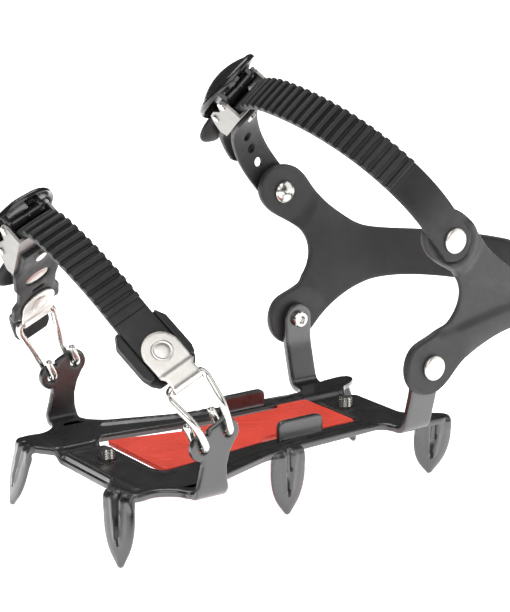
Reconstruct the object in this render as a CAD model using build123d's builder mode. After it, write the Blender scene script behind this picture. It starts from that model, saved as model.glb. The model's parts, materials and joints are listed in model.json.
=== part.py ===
from build123d import *
import math
import os

os.makedirs("parts", exist_ok=True)

# Six-point strap-on crampon. X runs toward the heel, Y toward the outer side, Z up.
# While drawing, Z = 0 is the ground under the point tips; save() then moves the origin
# to the middle of the boot bed, half way between the two width bolts.

# ---- frame plates ----
plate_top = 29.0
plate_t = 3.0
tip_front = (-28.7, 44.0)
tip_mid = (59.5, 33.5)
tip_rear = (141.5, 27.0)
point_w = 17.0
rail_in_front = 26.0
rail_in = 19.0
bolt_front_x = -7.3
bolt_rear_x = 115.4
bolt_r = 3.0
bolt_head_r = 8.2
bed_lift = 0.2
origin = ((bolt_front_x + bolt_rear_x) / 2, 0.0, plate_top + bed_lift)

# ---- front strap loop ----
front_tilt = 24.0
ear_mid = (5.8, 50.6)
ear_gap = 6.2
ear_r = 5.5
ear_hole_r = 2.1
upright_in = 57.0
wire_r = 1.5
roll_u = 27.5
roll_near = -55.1
roll_far = 61.9

# ---- heel harness and ankle loop ----
rear_pivot = (122.0, 58.0)
ankle_pivot = (122.5, 115.0)
ankle_tilt = 39.0
rear_strip_in = 44.0
lobe_low_in = 47.3
lobe_up_in = 56.0
lobe_t = 4.0
pin_r = 2.5
pin_hole_r = 2.58

# ---- straps ----
strap_half = 8.2
strap_t = 2.4
strap_root_r = 9.0
tooth_h = 1.0
tooth_pitch = 4.2
tongue_rivet_x = 13.8
tongue_rivet_r = 2.6

# ---- buckles: seat on the loop (y, climb), direction toward the strap, direction away from the boot ----
front_seat = (36.0, 61.0)
front_toward = (-0.722, 0.692)
front_away = (0.692, 0.722)
ankle_seat = (45.0, 49.0)
ankle_toward = (-0.842, 0.539)
ankle_away = (0.539, 0.842)
lever_pin = (-25.0, 9.4)
pawl_pin = (-8.5, 8.4)
base_rivet_x = -10.0
cord_ring = (5.6, 11.0)
cord_ring_r = 3.0
cord_r = 0.8

black = (0.05, 0.05, 0.055)
gloss_black = (0.03, 0.03, 0.03)
matte_black = (0.07, 0.07, 0.07)
steel = (0.82, 0.8, 0.74)
rubber = (0.09, 0.09, 0.095)
plate_red = (0.83, 0.16, 0.1)
cord_red = (0.75, 0.05, 0.06)


def loop_plane(x, z, tilt):
    """Plane of a strap loop: local x is Y, local y climbs the loop, normal is the strap width."""
    a = math.radians(tilt)
    return Plane(origin=(x, 0, z), x_dir=(0, 1, 0), z_dir=(math.cos(a), 0, math.sin(a)))


front_plane = loop_plane(ear_mid[0], ear_mid[1], front_tilt)
ankle_plane = loop_plane(ankle_pivot[0], ankle_pivot[1], ankle_tilt)


def sub_plane(base, y, u, dy, du):
    """Plane inside a loop: local x along (dy, du), local z along the strap width."""
    n = math.hypot(dy, du)
    o = base.from_local_coords(Vector(y, u, 0))
    d = base.x_dir * (dy / n) + base.y_dir * (du / n)
    return Plane(origin=o, x_dir=d, z_dir=base.z_dir)


def save(builder, label, colour):
    placed = builder.part.moved(Location((-origin[0], -origin[1], -origin[2])))
    placed.label = label
    placed.color = Color(*colour)
    export_step(placed, f"parts/{label}.step")


def at(pt, d, n, a, b):
    return (pt[0] + d[0] * a + n[0] * b, pt[1] + d[1] * a + n[1] * b)


def rib_profile(path, length0, length1, low, high, teeth=None):
    """Closed band outline that follows a path; teeth is (start, end) along the path."""
    lower = []
    upper = []
    steps = 60
    for i in range(steps + 1):
        s = length0 + (length1 - length0) * i / steps
        p = path.position_at(s, position_mode=PositionMode.LENGTH)
        t = path.tangent_at(s, position_mode=PositionMode.LENGTH)
        lower.append((p.X - t.Y * low, p.Y + t.X * low))
        if teeth is None or s < teeth[0] or s > teeth[1]:
            upper.append((s, (p.X - t.Y * high, p.Y + t.X * high)))
    if teeth is not None:
        count = int((teeth[1] - teeth[0]) / tooth_pitch)
        for k in range(count):
            s0 = teeth[0] + k * tooth_pitch
            for ds, h in ((0.0, high), (0.5, high + tooth_h), (2.4, high + tooth_h), (3.0, high)):
                s = s0 + ds
                p = path.position_at(s, position_mode=PositionMode.LENGTH)
                t = path.tangent_at(s, position_mode=PositionMode.LENGTH)
                upper.append((s, (p.X - t.Y * h, p.Y + t.X * h)))
    upper.sort(key=lambda e: e[0])
    return lower + [e[1] for e in reversed(upper)]


def blade(x0, v0, x1, v1, yaw, side, z_root):
    """One spear-shaped point with a pressed groove, from its root down to its tip."""
    w = (math.sin(math.radians(yaw)), side * math.cos(math.radians(yaw)))
    down = Vector(x1 - x0, side * (v1 - v0), 0.6 - z_root)
    length = down.length
    wide = Vector(w[0], w[1], 0)
    down = down.normalized()
    wide = (wide - down * wide.dot(down)).normalized()
    pl = Plane(origin=(x0, side * v0, z_root), x_dir=wide, z_dir=wide.cross(down))
    h = point_w / 2
    with BuildPart() as b:
        with BuildSketch(pl):
            with BuildLine():
                Polyline((-h * 0.93, -1.0), (h * 0.93, -1.0), (h, length * 0.2))
                flank = [(h, length * 0.2), (h * 0.9, length * 0.5), (h * 0.42, length * 0.85), (1.2, length - 0.6)]
                Spline(*flank)
                ThreePointArc((1.2, length - 0.6), (0, length), (-1.2, length - 0.6))
                Spline(*[(-a, b) for a, b in reversed(flank)])
                Line((-h, length * 0.2), (-h * 0.93, -1.0))
            make_face()
        extrude(amount=plate_t / 2, both=True)
        with BuildSketch(pl.offset(plate_t / 2)):
            with Locations((0, length * 0.38)):
                Ellipse(1.9, length * 0.36)
        extrude(amount=-1.1, mode=Mode.SUBTRACT)
        with BuildSketch(pl.offset(-plate_t / 2)):
            with Locations((0, length * 0.38)):
                Ellipse(1.9, length * 0.36)
        extrude(amount=1.1, mode=Mode.SUBTRACT)
    return b.part


def side_plate(side, name):
    """One half of the frame: rail, cross tongues, boot tab, uprights and three points."""
    low = plate_top - plate_t
    tongue_z = low if side < 0 else low - plate_t
    reach = 16.0 if side < 0 else 18.0
    with BuildPart() as plate:
        # rail with its front and rear ends
        with BuildSketch(Plane.XY.offset(low)):
            with BuildLine():
                Polyline(
                    (-25.5, side * 30), (-22.5, side * 46.5), (-13, side * 44.5), (-7.5, side * 46.5),
                    (-5.2, side * 51), (-5, side * 58), (8.2, side * 58), (9.5, side * 51.5),
                    (17, side * 45.5), (47, side * 35), (69, side * 31), (111, side * 28.7),
                    (114.6, side * 33), (115, side * 42.5), (129, side * 42.5), (130, side * 39.5),
                    (141.5, side * 37.5), (141.5, side * 33), (134, side * 27), (130.5, side * 20),
                    (107.5, side * rail_in), (58, side * rail_in),
                    (30, side * 22.5), (4, side * rail_in_front), (1, side * 21), (-19, side * 21),
                    close=True,
                )
            make_face()
            fillet(vertices(), radius=0.9)
        extrude(amount=plate_t)
        # raised rib along the rail
        with BuildSketch(Plane.XY.offset(plate_top - 0.2)):
            with BuildLine():
                Polyline(
                    (14, side * 37.5), (14, side * 40.5), (45, side * 31.2), (69, side * 27.4),
                    (108, side * 25.6), (108, side * 23), (68, side * 24.6), (44, side * 28.4),
                    close=True,
                )
            make_face()
            fillet(vertices(), radius=1.0)
        extrude(amount=1.0)
        # cross tongues that overlap the other plate's tongues
        with BuildSketch(Plane.XY.offset(tongue_z)):
            with Locations(((-8.8), side * (22 - reach) / 2)):
                RectangleRounded(20.5, 22 + reach, 4.5)
            with Locations((119, side * (22 - reach + 4) / 2)):
                RectangleRounded(22.5, 18 + reach, 5)
        extrude(amount=plate_t)
        # step between rail level and tongue level
        if side > 0:
            for cx, wx in ((-8.8, 20.5), (119, 22.5)):
                with BuildSketch(Plane.XY.offset(tongue_z)):
                    with Locations((cx, side * 20.2)):
                        Rectangle(wx - 0.6, 3.4)
                extrude(amount=2 * plate_t)
        # middle lug and boot tab
        with BuildSketch(Plane.XY.offset(low)):
            with Locations((74.8, side * 19.2)):
                Rectangle(23.5, 3.6)
        extrude(amount=plate_t)
        with BuildSketch(Plane.XZ.offset(-side * 20.0)):
            with Locations((74.6, plate_top + 2.4)):
                RectangleRounded(23, 11.2, 2.6)
        extrude(amount=side * 2.6)
        # front upright with two ears
        with BuildSketch(Plane.XZ.offset(-side * (upright_in + plate_t))):
            with BuildLine():
                Polyline(
                    (-5, low + 0.2), (8.2, low + 0.2), (9.2, 34), (11.4, 43.5), (13.6, 49.5), (12.6, 56.4),
                    (1.2, 52), (-1.6, 48.2), (1.4, 43), (-2.2, 35.5),
                    close=True,
                )
            make_face()
            along_x = math.cos(math.radians(front_tilt)) * ear_gap
            along_z = math.sin(math.radians(front_tilt)) * ear_gap
            ears = [(ear_mid[0] + k * along_x, ear_mid[1] + k * along_z) for k in (-1, 1)]
            with Locations(*ears):
                Circle(ear_r)
            with Locations(*ears):
                Circle(ear_hole_r, mode=Mode.SUBTRACT)
        extrude(amount=side * plate_t)
        # rear upright leans out, then stands straight beside the pivot
        with BuildSketch(Plane.YZ.offset(115)):
            with BuildLine():
                strip_out = rear_strip_in + plate_t
                Polyline(
                    (side * 38.6, low + 0.2), (side * 41.6, low + 0.2), (side * strip_out, 47.5),
                    (side * strip_out, 66), (side * rear_strip_in, 66), (side * rear_strip_in, 48),
                    (side * 38.6, plate_top + 0.5),
                    close=True,
                )
            make_face()
        extrude(amount=14)
        with BuildSketch(Plane.XZ.offset(-60)):
            with Locations((rear_pivot[0], 80)):
                Rectangle(40, 2 * (80 - rear_pivot[1]))
            with Locations(rear_pivot):
                Circle(7, mode=Mode.SUBTRACT)
        extrude(amount=120, mode=Mode.SUBTRACT)
        with Locations(Location((rear_pivot[0], side * 45, rear_pivot[1]), (90, 0, 0))):
            Cylinder(pin_r, 20, mode=Mode.SUBTRACT)
        # points
        add(blade(-22.5, 37.5, tip_front[0], tip_front[1], 10, side, low + 0.6))
        add(blade(59.7, 33.0, tip_mid[0], tip_mid[1], 90, side, low + 0.6))
        add(blade(133.0, 36.0, tip_rear[0], tip_rear[1], 72, side, low + 0.6))
        with BuildSketch(Plane.XY.offset(low)):
            with Locations((59.7, side * 32.4)):
                Rectangle(16, 4.2)
        extrude(amount=plate_t - 0.3)
        # bolt holes
        with Locations((bolt_front_x, 0, low), (bolt_rear_x, 0, low)):
            Cylinder(bolt_r, 30, mode=Mode.SUBTRACT)
    save(plate, name, black)


side_plate(-1, "inner_side_plate")
side_plate(1, "outer_side_plate")

# ---- width bolts: big polished heads below, threaded ends above ----
with BuildPart() as bolts:
    low = plate_top - 2 * plate_t
    for bx in (bolt_front_x, bolt_rear_x):
        with BuildSketch(Plane.XZ) as prof:
            with BuildLine():
                Polyline(
                    (bx, low - 4.6), (bx + 5.0, low - 4.6), (bx + 7.4, low - 3.6),
                    (bx + bolt_head_r, low - 1.6), (bx + bolt_head_r, low),
                    (bx + bolt_r, low), (bx + bolt_r, plate_top + 0.4),
                    (bx + bolt_r - 0.5, plate_top + 0.9), (bx + bolt_r, plate_top + 1.4),
                    (bx + bolt_r - 0.5, plate_top + 1.9), (bx + bolt_r, plate_top + 2.4),
                    (bx + bolt_r - 0.5, plate_top + 2.9), (bx + bolt_r, plate_top + 3.4),
                    (bx + bolt_r - 0.8, plate_top + 4.2), (bx, plate_top + 4.2),
                    close=True,
                )
            make_face()
        revolve(axis=Axis((bx, 0, 0), (0, 0, 1)))
save(bolts, "width_bolts", steel)

# ---- anti-snow plate between the rails ----
with BuildPart() as pad:
    with BuildSketch(Plane.XY.offset(plate_top + bed_lift - 2.6)):
        with BuildLine():
            Polyline(
                (4.6, -24.4), (11, -24.6), (30, -22.0), (58, -18.4), (60.4, -14.6), (89.2, -14.6),
                (91, -18.4), (106.6, -18.2), (106.9, 0), (106.6, 18.2), (91, 18.2), (89.2, 14.6), (60.4, 14.6), (56, 12.6),
                (38, 11.5), (4.6, 20.0),
                close=True,
            )
        make_face()
        fillet(vertices(), radius=1.6)
    extrude(amount=2.6)
    # moulded arrow ribs
    for cx in (22, 40, 96):
        with BuildSketch(Plane.XY.offset(plate_top)):
            with Locations((cx, -2)):
                Rectangle(1.2, 14)
                Rectangle(8, 1.2)
        extrude(amount=0.5)
save(pad, "anti_snow_plate", plate_red)


# ---- wire bails ----
def bail(side, roll_y, name):
    """Bent wire: a hook through each ear, two legs and the bar that carries the strap end."""
    y0 = side * (upright_in + plate_t / 2)
    ends = []
    for w in (-ear_gap, ear_gap):
        leg = [
            (y0 - side * 4.9, 8.5, w), (y0 - side * 4.7, 2.2, w), (y0 - side * 2.6, 0, w),
            (y0 + side * 2.6, 0, w), (y0 + side * 4.7, 2.4, w), (y0 + side * 5.3, 9.0, w * 1.08),
        ]
        ends.append(leg)
    knee = [(y0 + side * 4.4, 15.0, 1.22 * w) for w in (-ear_gap, ear_gap)]
    top = [(roll_y + side * 0.4, roll_u - 3.0, w) for w in (-9.3, 9.3)]
    bar = [(roll_y, roll_u, w) for w in (-7.6, 7.6)]
    pts = ends[0] + [knee[0], top[0], bar[0], bar[1], top[1], knee[1]] + list(reversed(ends[1]))
    pts3 = [front_plane.from_local_coords(Vector(*p)) for p in pts]
    with BuildPart() as wire:
        for a, b in zip(pts3, pts3[1:]):
            with BuildSketch(Plane(origin=a, z_dir=b - a)):
                Circle(wire_r)
            extrude(amount=(b - a).length)
        with Locations(*pts3):
            Sphere(wire_r + 0.01)
    save(wire, name, steel)


bail(-1, roll_near, "inner_wire_bail")
bail(1, roll_far, "outer_wire_bail")

# ---- front ladder strap with its end pad and steel tongue (inner side) ----
near_d = (0.72, 0.69)
near_n = (-0.69, 0.72)
near_o = (roll_near, roll_u)
near_plane = sub_plane(front_plane, roll_near, roll_u, *near_d)
far_plane = sub_plane(front_plane, roll_far, roll_u, -0.65, 0.76)

under_pawl = ((29, 2.8), (15, 2.8), (0, 2.8), (-7, 2.9), (-13, 2.6))
front_path = Spline(
    *[at(near_o, near_d, near_n, along, 0.35) for along in (3.4, 14, 27)],
    (-23.5, 60.5), (-11.0, 72.0), (1.0, 80.5), (10.0, 84.2),
    *[at(front_seat, front_toward, front_away, along, out) for along, out in under_pawl],
)
ankle_path = Spline(
    (-61.6, -9.0), (-61.6, -3.0), (-61.6, 3.0), (-61.7, 10.0), (-61.5, 17.0), (-57.2, 32.5), (-45.0, 49.5),
    (-27.0, 62.0), (-7.0, 69.0), (8.0, 70.8),
    *[at(ankle_seat, ankle_toward, ankle_away, along, out) for along, out in under_pawl],
)


def root_trim(side):
    """Cutter that leaves a strap's root as a round end about the ankle rivet."""
    with BuildPart() as cutter:
        with BuildSketch(Plane.XZ.offset(-side * 50)):
            with Locations(ankle_pivot):
                Rectangle(60, 60)
                Circle(strap_root_r, mode=Mode.SUBTRACT)
                with Locations(Location((0, 0, 0), (0, 0, ankle_tilt))):
                    with Locations((0, 30)):
                        Rectangle(60, 60, mode=Mode.SUBTRACT)
        extrude(amount=-side * 25)
        with Locations(Location((ankle_pivot[0], side * 60, ankle_pivot[1]), (90, 0, 0))):
            Cylinder(pin_r, 20)
    return cutter.part


def rivet_cut(plane):
    """Cutter for the rivet through a strap end, its pad and its tongue."""
    with BuildPart() as cutter:
        with BuildSketch(Plane(origin=plane.origin, x_dir=plane.x_dir, z_dir=plane.y_dir).offset(-7)):
            with Locations((tongue_rivet_x, 0)):
                Circle(tongue_rivet_r)
        extrude(amount=13)
    return cutter.part


def ladder(path, plane, first_tooth, teeth, name, cutter):
    """Strap with transverse ribs that the buckle's pawl catches."""
    span = (first_tooth, first_tooth + tooth_pitch * teeth)
    outline = rib_profile(path, 0.0, path.length, -strap_t / 2, strap_t / 2, span)
    with BuildPart() as strap:
        with BuildSketch(plane):
            with BuildLine():
                Polyline(*outline, close=True)
            make_face()
        extrude(amount=strap_half, both=True)
        add(cutter, mode=Mode.SUBTRACT)
    save(strap, name, rubber)


ladder(front_path, front_plane, 34.0, 22, "front_ladder_strap", rivet_cut(near_plane))
ladder(ankle_path, ankle_plane, 46.0, 28, "ankle_ladder_strap", root_trim(-1))


def tongue(plane, name):
    """Steel end plate: sheet with a rounded end, rolled around the bail bar."""
    with BuildPart() as t:
        with BuildSketch(plane):
            Circle(2.9)
            Circle(1.6, mode=Mode.SUBTRACT)
            with Locations((11.0, 2.28)):
                Rectangle(22.0, 1.24)
        extrude(amount=8.4, both=True)
        lie = Plane(origin=plane.origin, x_dir=plane.x_dir, z_dir=plane.y_dir)
        with BuildSketch(lie.offset(-3.2)):
            with Locations((2, 0)):
                Rectangle(80, 60)
            with Locations((0.4, 0)):
                Rectangle(7.2, 13.4, mode=Mode.SUBTRACT)
            with Locations((9.0, 0)):
                Rectangle(10.2, 16.8, mode=Mode.SUBTRACT)
            with Locations((tongue_rivet_x, 0)):
                Circle(8.4, mode=Mode.SUBTRACT)
        extrude(amount=6.6, mode=Mode.SUBTRACT)
        add(rivet_cut(plane), mode=Mode.SUBTRACT)
    save(t, name, steel)


tongue(near_plane, "inner_end_tongue")
tongue(far_plane, "outer_end_tongue")

# ---- rivets that hold tongue, strap and pad together ----
with BuildPart() as end_rivets:
    for plane, low_f, high_f in ((near_plane, -3.4, 2.9), (far_plane, -1.5, 2.9)):
        lie = Plane(origin=plane.origin, x_dir=plane.x_dir, z_dir=plane.y_dir)
        with BuildSketch(lie.offset(high_f)):
            with Locations((tongue_rivet_x, 0)):
                Circle(4.6)
        extrude(amount=0.9, taper=20)
        with BuildSketch(lie.offset(low_f)):
            with Locations((tongue_rivet_x, 0)):
                Circle(tongue_rivet_r)
        extrude(amount=high_f - low_f)
save(end_rivets, "end_rivets", steel)



def seat_cut(base, seat, toward, head_r):
    """Cutter for a buckle's base rivet, with room for its head on the boot side."""
    plane = sub_plane(base, seat[0], seat[1], -toward[0], -toward[1])
    lie = Plane(origin=plane.origin, x_dir=plane.x_dir, z_dir=plane.y_dir)
    with BuildPart() as cutter:
        for radius, depth in ((1.3, 8.0), (head_r, 3.55)):
            with BuildSketch(lie.offset(-6)):
                with Locations((base_rivet_x, 0)):
                    Circle(radius)
            extrude(amount=depth)
    return cutter.part


# ---- moulded end pads ----
with BuildPart() as near_pad:
    with BuildSketch(near_plane):
        with BuildLine():
            Polyline((3.2, -3.4), (31, -3.4), (31, -1.1), (3.2, -1.1), close=True)
        make_face()
    extrude(amount=12.5, both=True)
    with BuildSketch(near_plane):
        with Locations((18, 0.3)):
            Rectangle(22, 2.6)
    extrude(amount=12.5, both=True)
    with BuildSketch(near_plane):
        with Locations((18, 1.4)):
            Rectangle(40, 5.0)
    extrude(amount=strap_half + 0.4, both=True, mode=Mode.SUBTRACT)
    lie = Plane(origin=near_plane.origin, x_dir=near_plane.x_dir, z_dir=near_plane.y_dir)
    with BuildSketch(lie.offset(-5)):
        Rectangle(90, 60)
        with BuildLine():
            Polyline(
                (3.2, -8.5), (6, -11), (10, -12.3), (26, -12.3), (31, -9), (31, 9), (26, 12.3), (10, 12.3),
                (6, 11), (3.2, 8.5),
                close=True,
            )
        make_face(mode=Mode.SUBTRACT)
    extrude(amount=12, mode=Mode.SUBTRACT)
    add(rivet_cut(near_plane), mode=Mode.SUBTRACT)
save(near_pad, "inner_end_pad", rubber)

# toward the boot is local +y on this plane
with BuildPart() as far_pad:
    with BuildSketch(far_plane):
        with BuildLine():
            Polyline(
                (6.4, 1.55), (36, 1.55), (43, 0.1), (58, 1.6), (58.2, -0.5), (42.3, -2.05), (33, -2.7),
                (29, -1.0), (6.0, -1.0), (2.5, -5.4),
                (-14.5, -6.4), (-14.6, -4.4), (3.0, -3.4),
                close=True,
            )
        make_face()
    extrude(amount=12.0, both=True)
    lie = Plane(origin=far_plane.origin, x_dir=far_plane.x_dir, z_dir=far_plane.y_dir)
    with BuildSketch(lie.offset(-12)):
        Rectangle(150, 60)
        with BuildLine():
            Polyline(
                (-15.5, -7), (-12, -8.8), (2, -9.5), (8, -12), (17, -12), (20, -9.6), (28, -9.6), (31, -11),
                (41, -11), (44, -8.6), (60, -8.6), (60, 8.6), (44, 8.6), (41, 11), (31, 11), (28, 9.6),
                (20, 9.6), (17, 12), (8, 12), (2, 9.5), (-12, 8.8), (-15.5, 7),
                close=True,
            )
        make_face(mode=Mode.SUBTRACT)
    extrude(amount=24, mode=Mode.SUBTRACT)
    with BuildSketch(lie.offset(-6)):
        with Locations((25.4, 0)):
            SlotOverall(6.0, 2.0, rotation=90)
        with Locations((33.5, 0)):
            Ellipse(3.2, 6.2)
    extrude(amount=12, mode=Mode.SUBTRACT)
    add(rivet_cut(far_plane), mode=Mode.SUBTRACT)
    add(seat_cut(front_plane, front_seat, front_toward, 2.7), mode=Mode.SUBTRACT)
save(far_pad, "outer_end_pad", rubber)

# ---- heel harness ----
harness_lo = 42.0
harness_hi = 130.0
wall_k = (lobe_up_in - lobe_low_in) / (ankle_pivot[1] - rear_pivot[1])
back_x = 163.0


def wrap(z, grow, depth):
    """Face at height z that is open toward the toe and rounded behind the heel."""
    v = lobe_low_in + (z - rear_pivot[1]) * wall_k + grow
    with BuildSketch(Plane.XY.offset(z)) as sk:
        with BuildLine():
            Line((90, -v), (back_x, -v))
            turns = [math.radians(a) for a in range(-90, 91, 15)]
            Spline(*[(back_x + (depth + grow) * math.cos(a), v * math.sin(a)) for a in turns])
            Line((back_x, v), (90, v))
            Line((90, v), (90, -v))
        make_face()
    return sk.sketch.face()


with BuildPart() as heel_space:
    loft([wrap(harness_lo, 0.0, 40.0), wrap(harness_hi, 0.0, 44.0)], ruled=True)

with BuildPart() as harness:
    loft([wrap(harness_lo, lobe_t, 40.0), wrap(harness_hi, lobe_t, 44.0)], ruled=True)
    add(heel_space.part, mode=Mode.SUBTRACT)
    for s in (-1, 1):
        for pivot, inner in ((rear_pivot, lobe_low_in), (ankle_pivot, lobe_up_in)):
            with BuildSketch(Plane.XZ.offset(-s * inner)):
                with Locations(pivot):
                    Circle(13.5)
            extrude(amount=-s * lobe_t)
            with BuildSketch(Plane.XZ.offset(-s * (inner + lobe_t))):
                with Locations(pivot):
                    Circle(14.5)
            extrude(amount=-s * 8, mode=Mode.SUBTRACT)
            with BuildSketch(Plane.XZ.offset(-s * inner)):
                with Locations(pivot):
                    Circle(14.5)
            extrude(amount=s * 8, mode=Mode.SUBTRACT)
    with BuildSketch(Plane.XZ.offset(-90)):
        with BuildLine():
            Spline(
                (121, 127.6), (112, 123.5), (109.6, 115.5), (114.5, 107.5), (122, 102.6), (129.5, 97.5),
                (133.6, 91), (133.4, 83), (129, 76), (120.5, 71), (112, 67), (108.6, 58), (112, 49.6),
                (121, 45.6), (130, 49.2), (137, 56.0), (147, 62.5), (160, 67.4), (174, 69.6), (190, 70), (214, 69.5),
            )
            Line((214, 69.5), (214, 93))
            Spline(
                (214, 93), (188, 91.5), (172, 92.8), (163, 95.8), (154.5, 101), (145, 108.5), (138, 116.5),
                (131.5, 124), (121, 127.6),
            )
        make_face()
    extrude(amount=180, mode=Mode.INTERSECT)
    for s in (-1, 1):
        for pivot in (rear_pivot, ankle_pivot):
            with Locations(Location((pivot[0], s * 55, pivot[1]), (90, 0, 0))):
                Cylinder(pin_hole_r, 40, mode=Mode.SUBTRACT)
save(harness, "heel_harness", rubber)


def pin_stack(label, parts, colour):
    """Round pieces about Y: (centre x, centre z, y start, y end, radius)."""
    with BuildPart() as b:
        for x, z, y0, y1, r in parts:
            with BuildSketch(Plane.XZ.offset(-y0)):
                with Locations((x, z)):
                    Circle(r)
            extrude(amount=-(y1 - y0))
    save(b, label, colour)


px, pz = rear_pivot
strip = rear_strip_in
low_out = lobe_low_in + lobe_t + 0.3
pin_stack("inner_harness_rivet", (
    (px, pz, -strip, -low_out, pin_r), (px, pz, -low_out, -low_out - 1.8, 5.4),
    (px, pz, -strip + 1.6, -strip, 4.6),
), steel)
with BuildPart() as screw:
    with BuildSketch(Plane.XZ.offset(-strip)):
        with Locations((px, pz)):
            Circle(pin_r)
    extrude(amount=-(low_out - strip))
    with BuildSketch(Plane.XZ.offset(-low_out)):
        with Locations((px, pz)):
            Circle(5.0)
    extrude(amount=-2.2)
    with BuildSketch(Plane.XZ.offset(-strip + 2.4)):
        with Locations((px, pz)):
            Circle(3.7)
            RegularPolygon(1.7, 6, mode=Mode.SUBTRACT)
    extrude(amount=-1.6)
    with BuildSketch(Plane.XZ.offset(-strip + 0.8)):
        with Locations((px, pz)):
            Circle(3.7)
    extrude(amount=-0.8)
save(screw, "outer_harness_screw", steel)

ax, az = ankle_pivot
pin_stack("ankle_rivets", (
    (ax, az, -(lobe_up_in - 0.3), -62.85, pin_r), (ax, az, -62.85, -64.4, 5.4),
    (ax, az, -(lobe_up_in - 1.9), -(lobe_up_in - 0.3), 4.6),
    (ax, az, lobe_up_in - 0.3, 62.35, pin_r), (ax, az, 62.35, 63.6, 4.6),
    (ax, az, lobe_up_in - 1.4, lobe_up_in - 0.3, 5.2), (ax, az, lobe_up_in - 2.1, lobe_up_in - 1.4, 3.8),
), steel)

# ---- perforated buckle strap on the outer side of the ankle ----
ankle_far = Spline(
    (61.3, -9.0), (61.3, -3.0), (61.3, 3.0), (61.4, 10.0), (61.3, 16.5), (59.4, 25.5), (54.6, 35.5),
    *[at(ankle_seat, ankle_toward, ankle_away, *place) for place in ((0, -1.3), (8, -1.05), (16, -1.05))],
)
with BuildPart() as holed:
    with BuildSketch(ankle_plane):
        with BuildLine():
            Polyline(*rib_profile(ankle_far, 0.0, ankle_far.length, -1.0, 1.0), close=True)
        make_face()
    extrude(amount=strap_half, both=True)
    add(root_trim(1), mode=Mode.SUBTRACT)
    add(seat_cut(ankle_plane, ankle_seat, ankle_toward, 1.3), mode=Mode.SUBTRACT)
    for s_hole in (27.5, 37.5, 47.0):
        c = ankle_far.position_at(s_hole, position_mode=PositionMode.LENGTH)
        t = ankle_far.tangent_at(s_hole, position_mode=PositionMode.LENGTH)
        hp = sub_plane(ankle_plane, c.X, c.Y, t.X, t.Y)
        with BuildSketch(Plane(origin=hp.origin, x_dir=hp.x_dir, z_dir=hp.y_dir)):
            Ellipse(2.6, 2.0)
        extrude(amount=6, both=True, mode=Mode.SUBTRACT)
save(holed, "ankle_buckle_strap", rubber)


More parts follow.
